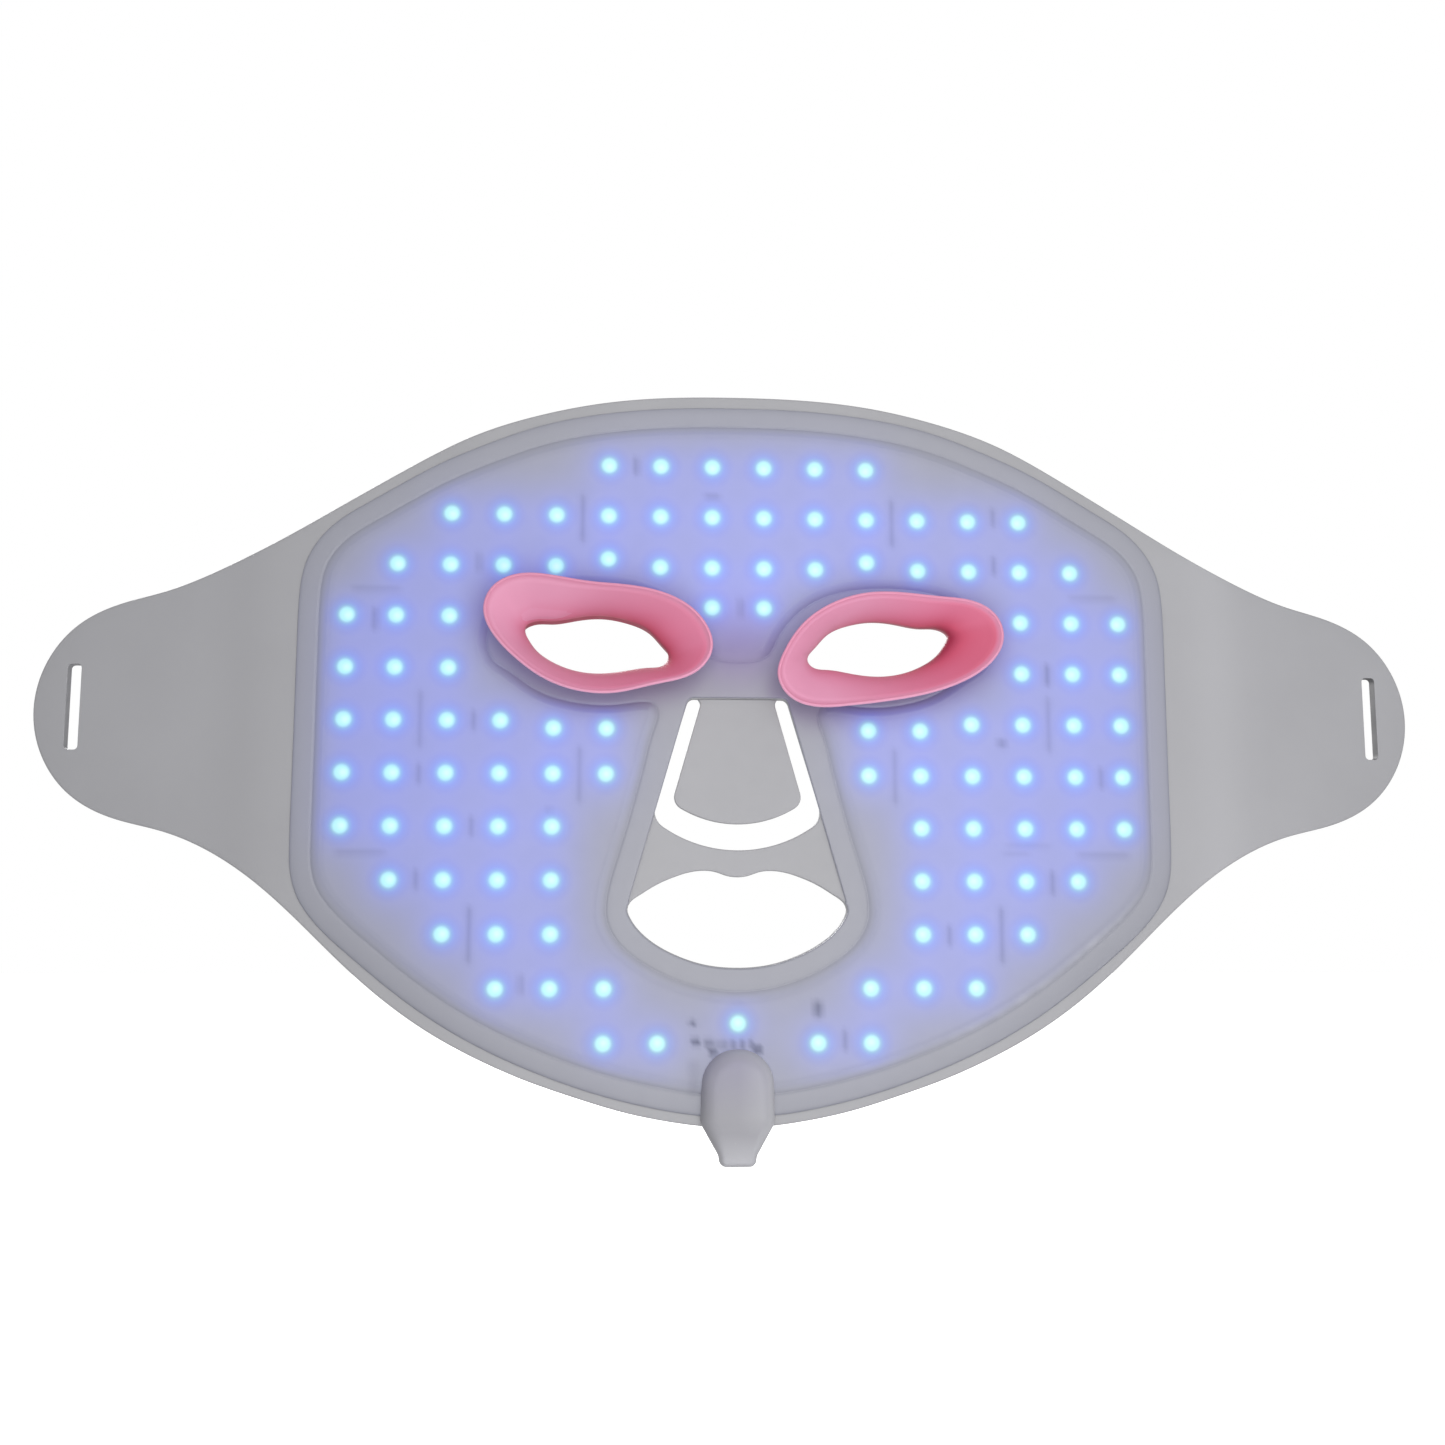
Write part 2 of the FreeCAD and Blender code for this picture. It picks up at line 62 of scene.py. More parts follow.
PAD_GAP = 0.25          # gap between the pad and the edge of its opening
PAD_DEPTH = 10.5        # how far a pad's rim stands in front of the sheet
SEAT = -0.95            # depth at which a pad rests on the cover
PITCH = 14.0            # spacing of the LEDs
ROW_ONE = 48.3          # height of the first row of LEDs
END_COLUMN = 103.95     # the outermost columns stand a little inward of the pitch
SPLIT_X = 117.3         # the wings are their own meshes beyond this line
CREASE_Z = -15.2        # top of the nose flap
JACK_Y = 0.3            # depth of the middle of the socket
TIP_X, TIP_Z, TIP_R = 154.7, -19.5, 29.6    # round end of the wing
SLOT_X, SLOT_Z = 174.2, -18.85              # middle of the strap slot
SLOT_HALF_W, SLOT_HALF_H, SLOT_CORNER = 1.75, 11.3, 1.0
MOUTH_GAP = 0.2         # the cover stands back from the mouth opening by this much
MARK_BLUR = 1.3         # half the width of a mark's blurred edge
FOLD_PITCH = 1.6        # spacing of the points where a wing bends
FOLD_END = 136.0        # the fine points of a wing reach out to this x
CORE_AIM = np.array((0, -42.0))     # the hot cores of the LEDs lean toward this point
CORE_REACH, CORE_SHIFT = 150, 0.8   # an LED this far from it leans by this much
BORE_R, BORE_LENGTH, BORE_Z = 2.0, 8.0, -136.2          # round opening at the boot's end
HOLLOW_SIZE, HOLLOW_Z = (7.5, 5.5, 21.4), -124.65       # room for the socket in the boot

# Right-hand halves of the outlines as (x, z), from the top down
SHEET_TOP = [(0, 68.9), (18, 68.5), (36, 66.7), (54, 62.8), (72, 56.5), (84, 50.2),
             (96, 43), (108, 35.6), (120, 28.2), (132, 21.4), (142, 16.3), (152, 12.2)]
SHEET_LOW = [(150, -51.3), (138, -56.3), (126, -64.2), (114, -74.7), (102, -86.1),
             (90, -96.1), (78, -104.1), (66, -110.4), (54, -115.5), (42, -119.6),
             (30, -123.2), (18, -125.7), (8, -127), (0, -127.3)]
COVER = [(0, 65.5), (18, 65.1), (36, 63.3), (54, 59.4), (70, 53.3), (80, 48.7),
         (90, 43), (100, 36.9), (107.5, 31.8), (112.6, 26.2), (115.6, 20), (116.8, 12),
         (117, 2), (117, -18), (117, -38), (117, -54), (116.3, -63), (114, -69.2),
         (110.4, -74.2), (100, -83.9), (90, -92), (80, -99.1), (70, -105), (60, -109.9),
         (48, -114.8), (36, -118.8), (24, -121.8), (12, -123.9), (0, -124.6)]
INNER = [(0, -5.2), (5, -4.8), (8.6, -2.8), (10.4, 0.6), (13.2, 5), (17.4, 9.3),
         (23, 12.6), (30, 14.6), (38, 15.4), (48, 15), (57, 12.9), (63.6, 8.4),
         (67, 1.8), (65.7, -5), (60.8, -8.6), (54.6, -12.9), (46, -16.1), (37.5, -17.2),
         (31, -16.9), (25.5, -16.2), (22.4, -16.9), (21.5, -19.4), (22.3, -23), (23.7, -27.4),
         (24.9, -32.5), (26.8, -40), (29.5, -50), (32.4, -59.5), (34.4, -67.5), (34.4, -74),
         (31.2, -80), (25.4, -84.8), (17.8, -88.8), (9.2, -91.5), (0, -92.5)]
MOUTH = [(0, -62.7), (3, -62.3), (5.6, -61.4), (8.6, -61), (12.5, -61.4), (17, -62.8),
         (22, -65.1), (26, -67.6), (28.3, -69.4), (29, -71.1), (28.4, -73.2),
         (26, -76.6), (22, -80), (16, -83.2), (8.5, -85.6), (0, -86.4)]
THROAT = [(18.8, -4.9), (20.6, -1.7), (24.5, 2.4), (30, 4.8), (36, 5.9), (43, 5.4),
          (50, 4.3), (55.2, 3.9), (56.9, 2.6), (56.2, 0.2), (53.6, -3.2), (50, -5.7),
          (44.5, -7.9), (38, -8.8), (30, -8), (24, -7.1), (19.9, -6.3)]
RIM_RIGHT = [(9.8, -9.9), (11.4, -3.9), (17.1, 4.4), (25.4, 9.9), (34.2, 12.4), (44, 12.5),
             (53.8, 11.6), (63.1, 10.2), (68.7, 6.2), (70.2, 0.2), (67, -5.9), (60.6, -10.6),
             (51.8, -14.1), (40.1, -16.6), (28.4, -18.1), (19.6, -18.4), (12.7, -15.6)]
RIM_LEFT = [(7.2, -2.8), (8.3, 2.2), (13.2, 8.1), (20.6, 11.8), (29.9, 13.6), (39.7, 14.4),
            (49.5, 15.9), (59.3, 15.9), (65.4, 12.2), (67.3, 6.7), (64.2, -0.8), (58.9, -6.3),
            (51.5, -11.6), (42.7, -14.8), (32.8, -15.3), (22, -12.9), (10.7, -8.9)]
# Straight-sided outlines with the radius of each corner
NOSE_CUT = [(-13.2, CREASE_Z, 1.9), (13.2, CREASE_Z, 1.9), (22.9, -47.4, 5), (0, -62.7, 35),
            (-22.9, -47.4, 5)]
FLAP = [(-10.7, CREASE_Z, 0), (10.7, CREASE_Z, 0), (9.9, -16.4, 1.6), (17.5, -43.1, 3.5),
        (0, -53.4, 29.6), (-17.5, -43.1, 3.5), (-9.9, -16.4, 1.6)]
COVER_WINDOW = [(-13.2, -14.9, 1.9), (13.2, -14.9, 1.9), (28.8, -69.4, 1), (22, -75, 0),
                (-22, -75, 0), (-28.8, -69.4, 1)]
NOTCH = [(-4.6, -113.5, 0), (-4.6, -130, 0), (4.6, -130, 0), (4.6, -113.5, 0)]
BOOT = [(-9.4, -107, 9.3), (9.4, -107, 9.3), (9.7, -126, 4), (5, -134.2, 2.5),
        (4.7, -137, 1.9), (-4.7, -137, 1.9), (-5, -134.2, 2.5), (-9.7, -126, 4)]

# LED columns in half pitches from the centre, row by row from the forehead down
LED_ROWS = [(1, 3, 5), (1, 3, 5, 7, 9, 11), (1, 3, 5, 7, 9, 11, 13), (1, 11, 13, 15),
            (11, 13, 15), (5, 7, 9, 11, 13, 15), (5, 7, 9, 11, 13, 15),
            (7, 9, 11, 13, 15), (7, 9, 11, 13), (7, 9, 11), (5, 7, 9), (3, 5)]
LED_SHIFT = {(2, 5): 2.1, (3, 1): 3.1, (5, 5): -1.9, (5, 7): -1.9}
CHIN_LED = (0, -100.6)

# Painted soft shadows of what lies under the cover and of the boot to its left: x, z, half width,
# half height, depth of tone
MARKS = [(84, -21.5, 0.5, 7.5, 0.13), (-84, -21.5, 0.5, 7.5, 0.12),
         (42, 33.5, 0.5, 6.5, 0.16), (-42, 33.5, 0.5, 6.5, 0.16),
         (42, -35.9, 0.5, 7.3, 0.13), (-42, -35.9, 0.5, 7.3, 0.13),
         (70, -77.8, 0.5, 7.3, 0.17), (-70, -77.8, 0.5, 7.3, 0.17),
         (97, 13.3, 6.5, 0.4, 0.11), (-96.5, 13.3, 6.5, 0.4, 0.11),
         (98, -56.7, 7, 0.4, 0.12), (-98.5, -56.7, 6.5, 0.4, 0.12),
         (77.5, -54.3, 6, 0.3, 0.07), (74.5, -56.3, 3.5, 0.3, 0.07),
         (70, 35.5, 0.5, 2.6, 0.17), (70, 22, 0.5, 2.6, 0.18), (84, -8, 0.6, 3, 0.24),
         (98, -36, 0.6, 2.9, 0.17), (84, -64, 0.6, 3.2, 0.19), (56, -78, 0.5, 2.6, 0.18),
         (28, -105, 0.5, 2.6, 0.2), (0.7, 9.3, 0.6, 2.6, 0.22), (-96.6, 5.2, 0.6, 3, 0.2),
         (-69.5, 21, 0.5, 2.6, 0.18), (-27.7, 48.2, 0.5, 2.4, 0.24), (-84, -36, 0.5, 2.6, 0.16),
         (-84, -63.6, 0.5, 2.6, 0.16), (-56.4, -90.6, 0.5, 2.6, 0.17),
         (-70, -21.7, 0.5, 2.6, 0.16), (-70, -49.7, 0.5, 2.6, 0.16),
         (20.9, -97, 1, 2, 0.5), (-11.8, -100.5, 0.5, 0.4, 0.3),
         (-11, -105.3, 0.8, 0.6, 0.48), (71.2, -26.7, 1.2, 0.9, 0.3),
         (-6.9, 40.1, 2, 0.5, 0.2), (-49.8, -45.4, 0.8, 0.8, 0.08),
         (-7.6, -105.8, 0.3, 0.9, 0.5), (-6.5, -107.8, 0.6, 1.1, 0.62),
         (5.2, -107.2, 0.5, 0.7, 0.66), (-11.4, -114.5, 1.4, 4.5, 0.16)]
MARKS += [(x, -106, 0.3, 1, 0.3) for x in (-5.2, -3.1, -1, 1.1, 3.4)]


# Outlines -----------------------------------------------------------------------------------

def both_halves(right):
    """Complete a loop from its right-hand half."""
    return right + [(-x, z) for x, z in reversed(right[1:-1])]


def mirrored(points):
    """The same loop on the other side of the centre line."""
    return [(-x, z) for x, z in points]


def signed_area(loop):
    """Area inside a loop, positive when it runs anticlockwise."""
    x, z = loop[:, 0], loop[:, 1]
    return 0.5 * float(np.sum(x * np.roll(z, -1) - np.roll(x, -1) * z))


def smooth_loop(points, step=1.2, pieces=None):
    """Closed smooth anticlockwise curve through the points, with even pieces in each span."""
    knots = np.array(points, float)
    if signed_area(knots) < 0:
        knots = knots[::-1]
    count = len(knots)
    after = np.roll(knots, -1, axis=0)
    spans = np.linalg.norm(after - knots, axis=1)
    slopes = (after - knots) / spans[:, None]
    system = np.zeros((count, count))
    for i in range(count):
        system[i, i - 1] += spans[i - 1]
        system[i, i] += 2 * (spans[i - 1] + spans[i])
        system[i, (i + 1) % count] += spans[i]
    bends = np.linalg.solve(system, 6 * (slopes - np.roll(slopes, 1, axis=0)))
    samples = []
    for i in range(count):
        j = (i + 1) % count
        number = pieces or max(1, round(spans[i] / step))
        for k in range(number):
            b = k / number
            a = 1 - b
            curve = (a ** 3 - a) * bends[i] + (b ** 3 - b) * bends[j]
            samples.append(a * knots[i] + b * knots[j] + curve * spans[i] ** 2 / 6)
    return np.array(samples)


def rounded_loop(corners, step=1.2):
    """Closed anticlockwise line of straight sides with rounded corners."""
    places = []
    count = len(corners)
    for i, (x, z, radius) in enumerate(corners):
        here = np.array((x, z), float)
        before = np.array(corners[i - 1][:2], float) - here
        after = np.array(corners[(i + 1) % count][:2], float) - here
        before /= np.linalg.norm(before)
        after /= np.linalg.norm(after)
        half = 0.5 * math.acos(max(-1.0, min(1.0, float(before @ after))))
        if radius == 0:
            places.append(here)
            continue
        middle = before + after
        middle /= np.linalg.norm(middle)
        hub = here + middle * radius / math.sin(half)
        first = here + before * radius / math.tan(half) - hub
        last = here + after * radius / math.tan(half) - hub
        turn = math.pi - 2 * half
        number = max(2, round(radius * turn / (0.6 * step)), round(turn / 0.35))
        for k in range(number + 1):
            share = k / number
            arm = (first * math.sin(turn * (1 - share)) + last * math.sin(turn * share))
            places.append(hub + arm / math.sin(turn))
    loop = []
    for start, end in zip(places, places[1:] + places[:1]):
        number = max(1, round(float(np.linalg.norm(end - start)) / step))
        loop += [start + (end - start) * k / number for k in range(number)]
    loop = np.array(loop)
    return loop if signed_area(loop) > 0 else loop[::-1]


def moved(loop, distance):
    """The loop moved outward by a distance, or inward when it is negative."""
    along = np.roll(loop, -1, axis=0) - np.roll(loop, 1, axis=0)
    along /= np.linalg.norm(along, axis=1)[:, None]
    return loop + distance * np.stack([along[:, 1], -along[:, 0]], axis=1)


def depth_inside(points, loop):
    """Distance of each point from an anticlockwise loop, positive inside it."""
    count = len(loop)
    tree = KDTree(count)
    for i, (x, z) in enumerate(loop):
        tree.insert((x, z, 0), i)
    tree.balance()
    nearest = np.array([tree.find((x, z, 0))[1] for x, z in points])
    steps = np.roll(loop, -1, axis=0) - loop
    found = []
    for first in ((nearest - 1) % count, nearest):
        step = steps[first]
        gap = points - loop[first]
        share = np.clip(np.sum(gap * step, axis=1) / np.sum(step * step, axis=1), 0, 1)
        near = np.sum((gap - share[:, None] * step) ** 2, axis=1)
        found.append((near, step[:, 0] * gap[:, 1] - step[:, 1] * gap[:, 0]))
    (near_a, left_a), (near_b, left_b) = found
    before, after = steps[(nearest - 1) % count], steps[nearest]
    convex = before[:, 0] * after[:, 1] - before[:, 1] * after[:, 0] > 0
    corner = np.where(convex, np.minimum(left_a, left_b), np.maximum(left_a, left_b))
    inside = np.where(near_a < near_b, left_a, left_b)
    inside = np.where(np.abs(near_a - near_b) < 1e-9, corner, inside)
    best = np.minimum(near_a, near_b)
    return np.sign(inside) * np.sqrt(best)


def depth_in_any(points, loops):
    """Distance of each point from the nearest loop, positive inside one of them."""
    return np.max([depth_inside(points, loop) for loop in loops], axis=0)


def eased(share):
    """Share from 0 to 1 that starts and ends gently."""
    return share * share * (3 - 2 * share)


def tip_points():
    """Round end of the right-hand wing."""
    turns = [math.radians(a) for a in (75, 50, 25, 0, -25, -50, -75)]
    return [(TIP_X + TIP_R * math.cos(a), TIP_Z + TIP_R * math.sin(a)) for a in turns]


def strap_slot(side):
    """Outline of a strap slot."""
    signs = ((-1, -1), (1, -1), (1, 1), (-1, 1))
    return rounded_loop([(side * (SLOT_X + u * SLOT_HALF_W), SLOT_Z + v * SLOT_HALF_H,
                          SLOT_CORNER)
                         for u, v in signs], 0.7)


sheet_loop = smooth_loop(both_halves(SHEET_TOP + tip_points() + SHEET_LOW), 1.5)
cover_loop = smooth_loop(both_halves(COVER), 1.3)
inner_loop = smooth_loop(both_halves(INNER), 1.1)
mouth_loop = smooth_loop(both_halves(MOUTH), 0.8)
nose_loop = rounded_loop(NOSE_CUT)
flap_loop = rounded_loop(FLAP)
window_loop = rounded_loop(COVER_WINDOW)
notch_loop = rounded_loop(NOTCH, 2)
eye_loops = [moved(smooth_loop(points, 0.8), PAD_WALL + PAD_GAP)
             for points in (THROAT, mirrored(THROAT))]
slot_loops = [strap_slot(side) for side in (-1, 1)]


# Plates -------------------------------------------------------------------------------------

ROUNDING = [(0, 1), (0.034, 0.741), (0.134, 0.5), (0.293, 0.293), (0.5, 0.134), (0.741, 0.034),
            (1, 0)]     # quarter circle, as the share of the radius inward and down


def rounded_edge(distance, radius):
    """How far the face drops toward a rounded edge."""
    places, drops = zip(*ROUNDING)
    return radius * np.interp(distance / radius, places, drops)


def edge_lines(loop, radius, side=1):
    """A boundary loop and the lines of its rounded edge; side -1 is for an outer boundary."""
    return [moved(loop, side * radius * share) for share, _ in ROUNDING]


def profile(distance, knots):
    """Height along a piecewise profile given as distance and height."""
    places, heights = zip(*knots)
    return np.interp(distance, places, heights)


def lines_at(loop, knots, side=1):
    """Lines at the knots of a profile."""
    return [moved(loop, side * place) for place, _ in knots]


def grid(x0, x1, z0, z1, pitch):
    """Points of a square grid."""
    xs = np.arange(x0, x1 + 1e-6, pitch)
    zs = np.arange(z0, z1 + 1e-6, pitch)
    return np.array([(x, z) for x in xs for z in zs])


def thinned(points, loops, reach):
    """The points that keep clear of all the lines."""
    lines = np.concatenate(loops)
    cells = {}
    for x, z in lines:
        cells.setdefault((int(x // reach), int(z // reach)), []).append((x, z))
    kept = []
    for x, z in points:
        i, j = int(x // reach), int(z // reach)
        near = [q for a in (i - 1, i, i + 1) for b in (j - 1, j, j + 1)
                for q in cells.get((a, b), ())]
        if all((x - q[0]) ** 2 + (z - q[1]) ** 2 > reach * reach for q in near):
            kept.append((x, z))
    return np.array(kept)


def triangulated(loops, chains, fill, keep):
    """Flat triangles between the lines, anticlockwise, where keep holds."""
    places = []
    edges = []
    for line, closed in [(loop, True) for loop in loops] + [(chain, False) for chain in chains]:
        first = len(places)
        count = len(line)
        places += [Vector((float(x), float(z))) for x, z in line]
        edges += [(first + k, first + k + 1) for k in range(count - 1)]
        if closed:
            edges.append((first + count - 1, first))
    places += [Vector((float(x), float(z))) for x, z in fill]
    made = delaunay_2d_cdt(places, edges, [], 0, 1e-4, False)
    points = np.array([tuple(v) for v in made[0]])
    triangles = np.array([tuple(f) for f in made[2]])
    a, b, c = (points[triangles[:, k]] for k in range(3))
    turn = np.cross(b - a, c - a)
    triangles[turn < 0] = triangles[turn < 0][:, ::-1]
    return points, triangles[keep(points[triangles].mean(axis=1))]


def plate_object(name, points, triangles, front, back):
    """Closed plate between a front and a back height over flat triangles."""
    used, flat = np.unique(triangles, return_inverse=True)
    flat = flat.reshape(-1, 3)
    count = len(used)
    x, z = points[used, 0], points[used, 1]
    verts = np.concatenate([np.stack([x, front[used], z], 1), np.stack([x, back[used], z], 1)])
    directed = np.concatenate([flat[:, (0, 1)], flat[:, (1, 2)], flat[:, (2, 0)]])
    codes = directed[:, 0] * count + directed[:, 1]
    opposite = directed[:, 1] * count + directed[:, 0]
    rim = directed[~np.isin(codes, opposite)]
    walls = np.stack([rim[:, 1], rim[:, 0], rim[:, 0] + count, rim[:, 1] + count], 1)
    faces = flat.tolist() + (flat[:, ::-1] + count).tolist() + walls.tolist()
    mesh = bpy.data.meshes.new(name)
    mesh.from_pydata((verts * MM).tolist(), [], faces)
    mesh.update()
    finish_mesh(mesh)
    made = bpy.data.objects.new(name, mesh)
    bpy.context.scene.collection.objects.link(made)
    return made, used, flat


def finish_mesh(mesh, sharp=48):
    """Smooth shading, broken only at sharp edges."""
    mesh.polygons.foreach_set("use_smooth", [True] * len(mesh.polygons))
    mesh.set_sharp_from_angle(angle=math.radians(sharp))


def store(thing, **layers):
    """Keep values on the points of a piece, for its material to read."""
    for name, values in layers.items():
        layer = thing.data.attributes.new(name, "FLOAT", "POINT")
        layer.data.foreach_set("value", np.array(values, np.float32))


def both_faces(values):
    """The same values for the front and the back of a plate."""
    return np.tile(values, 2)


# Materials ----------------------------------------------------------------------------------

class Nodes:
    """Small helper for building one material."""

    def __init__(self, name):
        self.material = bpy.data.materials.new(name)
        self.material.use_nodes = True
        self.tree = self.material.node_tree
        self.shader = self.tree.nodes["Principled BSDF"]
        where = self.tree.nodes.new("ShaderNodeTexCoord")
        self.place = where.outputs["Object"]

    def add(self, kind, settings=None, **links):
        """New node; settings are its properties, links are sockets or values by input name."""
        node = self.tree.nodes.new("ShaderNode" + kind)
        for key, value in (settings or {}).items():
            setattr(node, key, value)
        for key, value in links.items():
            self.put(node.inputs[key], value)
        return node

    def put(self, socket, value):
        """Link a socket, or set a plain value."""
        if isinstance(value, bpy.types.NodeSocket):
            self.tree.links.new(value, socket)
        else:
            socket.default_value = value

    def math(self, operation, first, second=0.0, clamp=False):
        """One sum."""
        node = self.tree.nodes.new("ShaderNodeMath")
        node.operation = operation
        node.use_clamp = clamp
        self.put(node.inputs[0], first)
        self.put(node.inputs[1], second)
        return node.outputs[0]

    def noise(self, scale, detail):
        """Noise over the piece."""
        node = self.add("TexNoise", None, Vector=self.place, Scale=scale, Detail=detail,
                        Roughness=0.5)
        return node.outputs["Fac"]

    def span(self, value, low, high, out_low, out_high):
        """Value carried from one range to another, held at the ends."""
        node = self.tree.nodes.new("ShaderNodeMapRange")
        node.clamp = True
        for socket, number in zip(node.inputs[:5], (value, low, high, out_low, out_high)):
            self.put(socket, number)
        return node.outputs[0]

    def mix(self, share, first, second, blend="MIX"):
        """Mix of two colours."""
        node = self.tree.nodes.new("ShaderNodeMix")
        node.data_type = "RGBA"
        node.blend_type = blend
        self.put(node.inputs[0], share)
        for socket, value in ((node.inputs[6], first), (node.inputs[7], second)):
            self.put(socket, value + (1.0,) if isinstance(value, tuple) else value)
        return node.outputs[2]

    def bump(self, height, distance, strength=1.0, after=None):
        """Bump from a height, in metres."""
        node = self.tree.nodes.new("ShaderNodeBump")
        node.inputs["Strength"].default_value = strength
        node.inputs["Distance"].default_value = distance
        self.put(node.inputs["Height"], height)
        if after is not None:
            self.put(node.inputs["Normal"], after)
        return node.outputs["Normal"]

    def ramp(self, value, stops):
        """Colour along a ramp of (position, colour) stops."""
        node = self.tree.nodes.new("ShaderNodeValToRGB")
        self.put(node.inputs[0], value)
        elements = node.color_ramp.elements
        while len(elements) < len(stops):
            elements.new(0.5)
        for element, (spot, colour) in zip(elements, stops):
            element.position = spot
            element.color = colour + (1,)
        return node.outputs[0]

    def length(self, vector):
        """Length of a vector."""
        node = self.add("VectorMath", {"operation": "LENGTH"})
        self.put(node.inputs[0], vector)
        return node.outputs["Value"]

    def tone(self):
        """Colour that now feeds the shader."""
        return self.shader.inputs["Base Color"].links[0].from_socket

    def colour(self, tone):
        """Feed the shader this colour."""
        self.put(self.shader.inputs["Base Color"], tone)

    def set(self, **values):
        """Plain values for the shader's own sockets, named with _ for each space."""
        for name, value in values.items():
            self.shader.inputs[name.replace("_", " ")].default_value = value

    def value(self, name, kind="Fac"):
        """Attribute of the mesh."""
        node = self.tree.nodes.new("ShaderNodeAttribute")
        node.attribute_name = name
        return node.outputs[kind]


def silicone(name, colour, spread=0.03, rough=0.55, grain=1.0, specks=True):
    """Moulded silicone: slow clouds of tone, fine grain, a few specks of dust."""
    n = Nodes(name)
    clouds = n.span(n.noise(28, 4), 0.3, 0.7, 0, 1)
    darker = tuple(c * (1 - spread) for c in colour)
    lighter = tuple(c * (1 + spread) for c in colour)
    tone = n.mix(clouds, darker, lighter)
    if specks:
        dust = n.span(n.noise(900, 1), 0.80, 0.84, 0, 0.5)
        tone = n.mix(dust, tone, tuple(0.55 * c + 0.3 for c in colour))
    n.colour(tone)
    n.put(n.shader.inputs["Roughness"], n.span(n.noise(260, 4), 0.3, 0.7, rough - 0.07,
                                               rough + 0.07))
    fine = n.bump(n.noise(4200, 2), 0.00002 * grain)
    n.put(n.shader.inputs["Normal"], n.bump(n.noise(45, 2), 0.0006 * grain, 0.5, fine))
    n.set(Specular_IOR_Level=0.35)
    return n


GREY = (0.34, 0.339, 0.357)
grey = silicone("grey_silicone", GREY)
# The wings take the light differently along their folds, so a painted highlight lies along the
# right fold and painted shade along the left, and the slot walls carry painted shade
for layer, strength in (("pale", 1.18), ("dusk", 0.87), ("wall", 0.2)):
    grey.colour(grey.mix(grey.value(layer), grey.tone(), tuple(strength * c for c in GREY)))

# Eye pads: painted shade over the pink, pale at the rim, redder and darker down the funnel with
# painted shade and red bounce light, darkest round the opening, and a painted highlight on the
# lower lip
pink = silicone("pink_silicone", (0.65, 0.275, 0.41), 0.03, 0.5, 1.0, False)
PINKS = [(0, (1, 1, 1)), (0.4, (0.93, 0.62, 0.68)), (0.75, (0.82, 0.31, 0.38)),
         (1, (0.5, 0.09, 0.16))]
rose = pink.mix(1.0, pink.tone(), pink.ramp(pink.value("deep"), PINKS), "MULTIPLY")
pink.colour(pink.mix(pink.value("lip"), rose, (0.74, 0.52, 0.70)))
pink.set(Sheen_Weight=0.12, Sheen_Roughness=0.4)

# Boot: painted LED light in lavender at its top, painted shade on the left, and a paler painted
# rim where light comes through
milky = silicone("milky_silicone", (0.285, 0.283, 0.31), 0.025, 0.45)
for layer, colour in (("cool", (0.268, 0.26, 0.335)), ("dull", (0.205, 0.2, 0.215)),
                      ("thin", (0.46, 0.46, 0.49))):
    milky.colour(milky.mix(milky.value(layer), milky.tone(), colour))


def cover_material():
    """Frosted cover with the lit LEDs behind it."""
    n = silicone("frosted_cover", (0.295, 0.294, 0.312), 0.012, 0.42, 0.8, False)
    radius = n.length(n.value("led_offset", "Vector"))
    shade = n.value("shade")
    # Disc of light over each LED, by distance in millimetres up to its reach
    reach = 5.0
    stops = [(0, (0.24, 0.57, 0.30)), (0.8, (0.21, 0.58, 0.3)), (1.2, (0.19, 0.58, 0.28)),
             (1.6, (0.16, 0.54, 0.22)), (1.8, (0.125, 0.47, 0.16)), (2.0, (0.085, 0.37, 0.10)),
             (2.2, (0.045, 0.27, 0.06)), (2.4, (0.02, 0.18, 0.03)), (2.7, (0.005, 0.12, 0.04)),
             (3.0, (0.0, 0.07, 0.05)), (3.5, (0.0, 0.03, 0.055)), (4.9, (0.0, 0.005, 0.03))]
    disc = n.ramp(n.math("DIVIDE", radius, reach, True),
                  [(place / reach, colour) for place, colour in stops])
    hot = n.span(n.length(n.value("led_core", "Vector")), 0.3, 1.5, 0.12, 0.0)
    blue = n.mix(n.value("glow"), (0, 0, 0), (0.0, 0.035, 0.52))
    light = n.mix(1.0, disc, blue, "ADD")
    light = n.mix(hot, light, (1.2, 1.2, 1.2))
    dim = n.math("SUBTRACT", 1.0, n.math("MULTIPLY", shade, 0.75))
    dimmed = n.add("VectorMath", {"operation": "SCALE"})
    n.put(dimmed.inputs[0], light)
    n.put(dimmed.inputs["Scale"], dim)
    n.put(n.shader.inputs["Emission Color"], dimmed.outputs[0])
    # Painted blue halo of LED light in a ring round each disc, painted shadows and shaded lines,
    # and painted warm shade with pink bounce light by nose and pads
    ring = n.math("MULTIPLY", n.span(radius, 1.8, 2.6, 0, 1), n.span(radius, 3.6, 6.2, 1, 0))
    tone = n.mix(n.math("MULTIPLY", ring, 0.12), n.tone(), (0.0, 0.1, 0.4))
    tone = n.mix(shade, tone, (0.03, 0.035, 0.065))
    n.colour(n.mix(n.value("blush"), tone, (0.21, 0.15, 0.27)))
    n.set(Emission_Strength=1.0, Specular_IOR_Level=0.4, Coat_Weight=0.08, Coat_Roughness=0.35)
    return n.material


def small_part(name, colour, rough, metal=0.0, scale=600, spread=0.1):
    """Small hard part: slight mottling, uneven gloss and a fine surface."""
    n = Nodes(name)
    tone = n.mix(n.span(n.noise(scale, 4), 0.3, 0.7, 0, 1),
                 tuple(c * (1 - spread) for c in colour), tuple(c * (1 + spread) for c in colour))
    n.colour(tone)
    n.put(n.shader.inputs["Roughness"], n.span(n.noise(scale * 3, 3), 0.3, 0.7, rough - 0.06,
                                               rough + 0.06))
    n.put(n.shader.inputs["Normal"], n.bump(n.noise(scale * 5, 2), 0.00002))
    n.set(Metallic=metal)
    return n


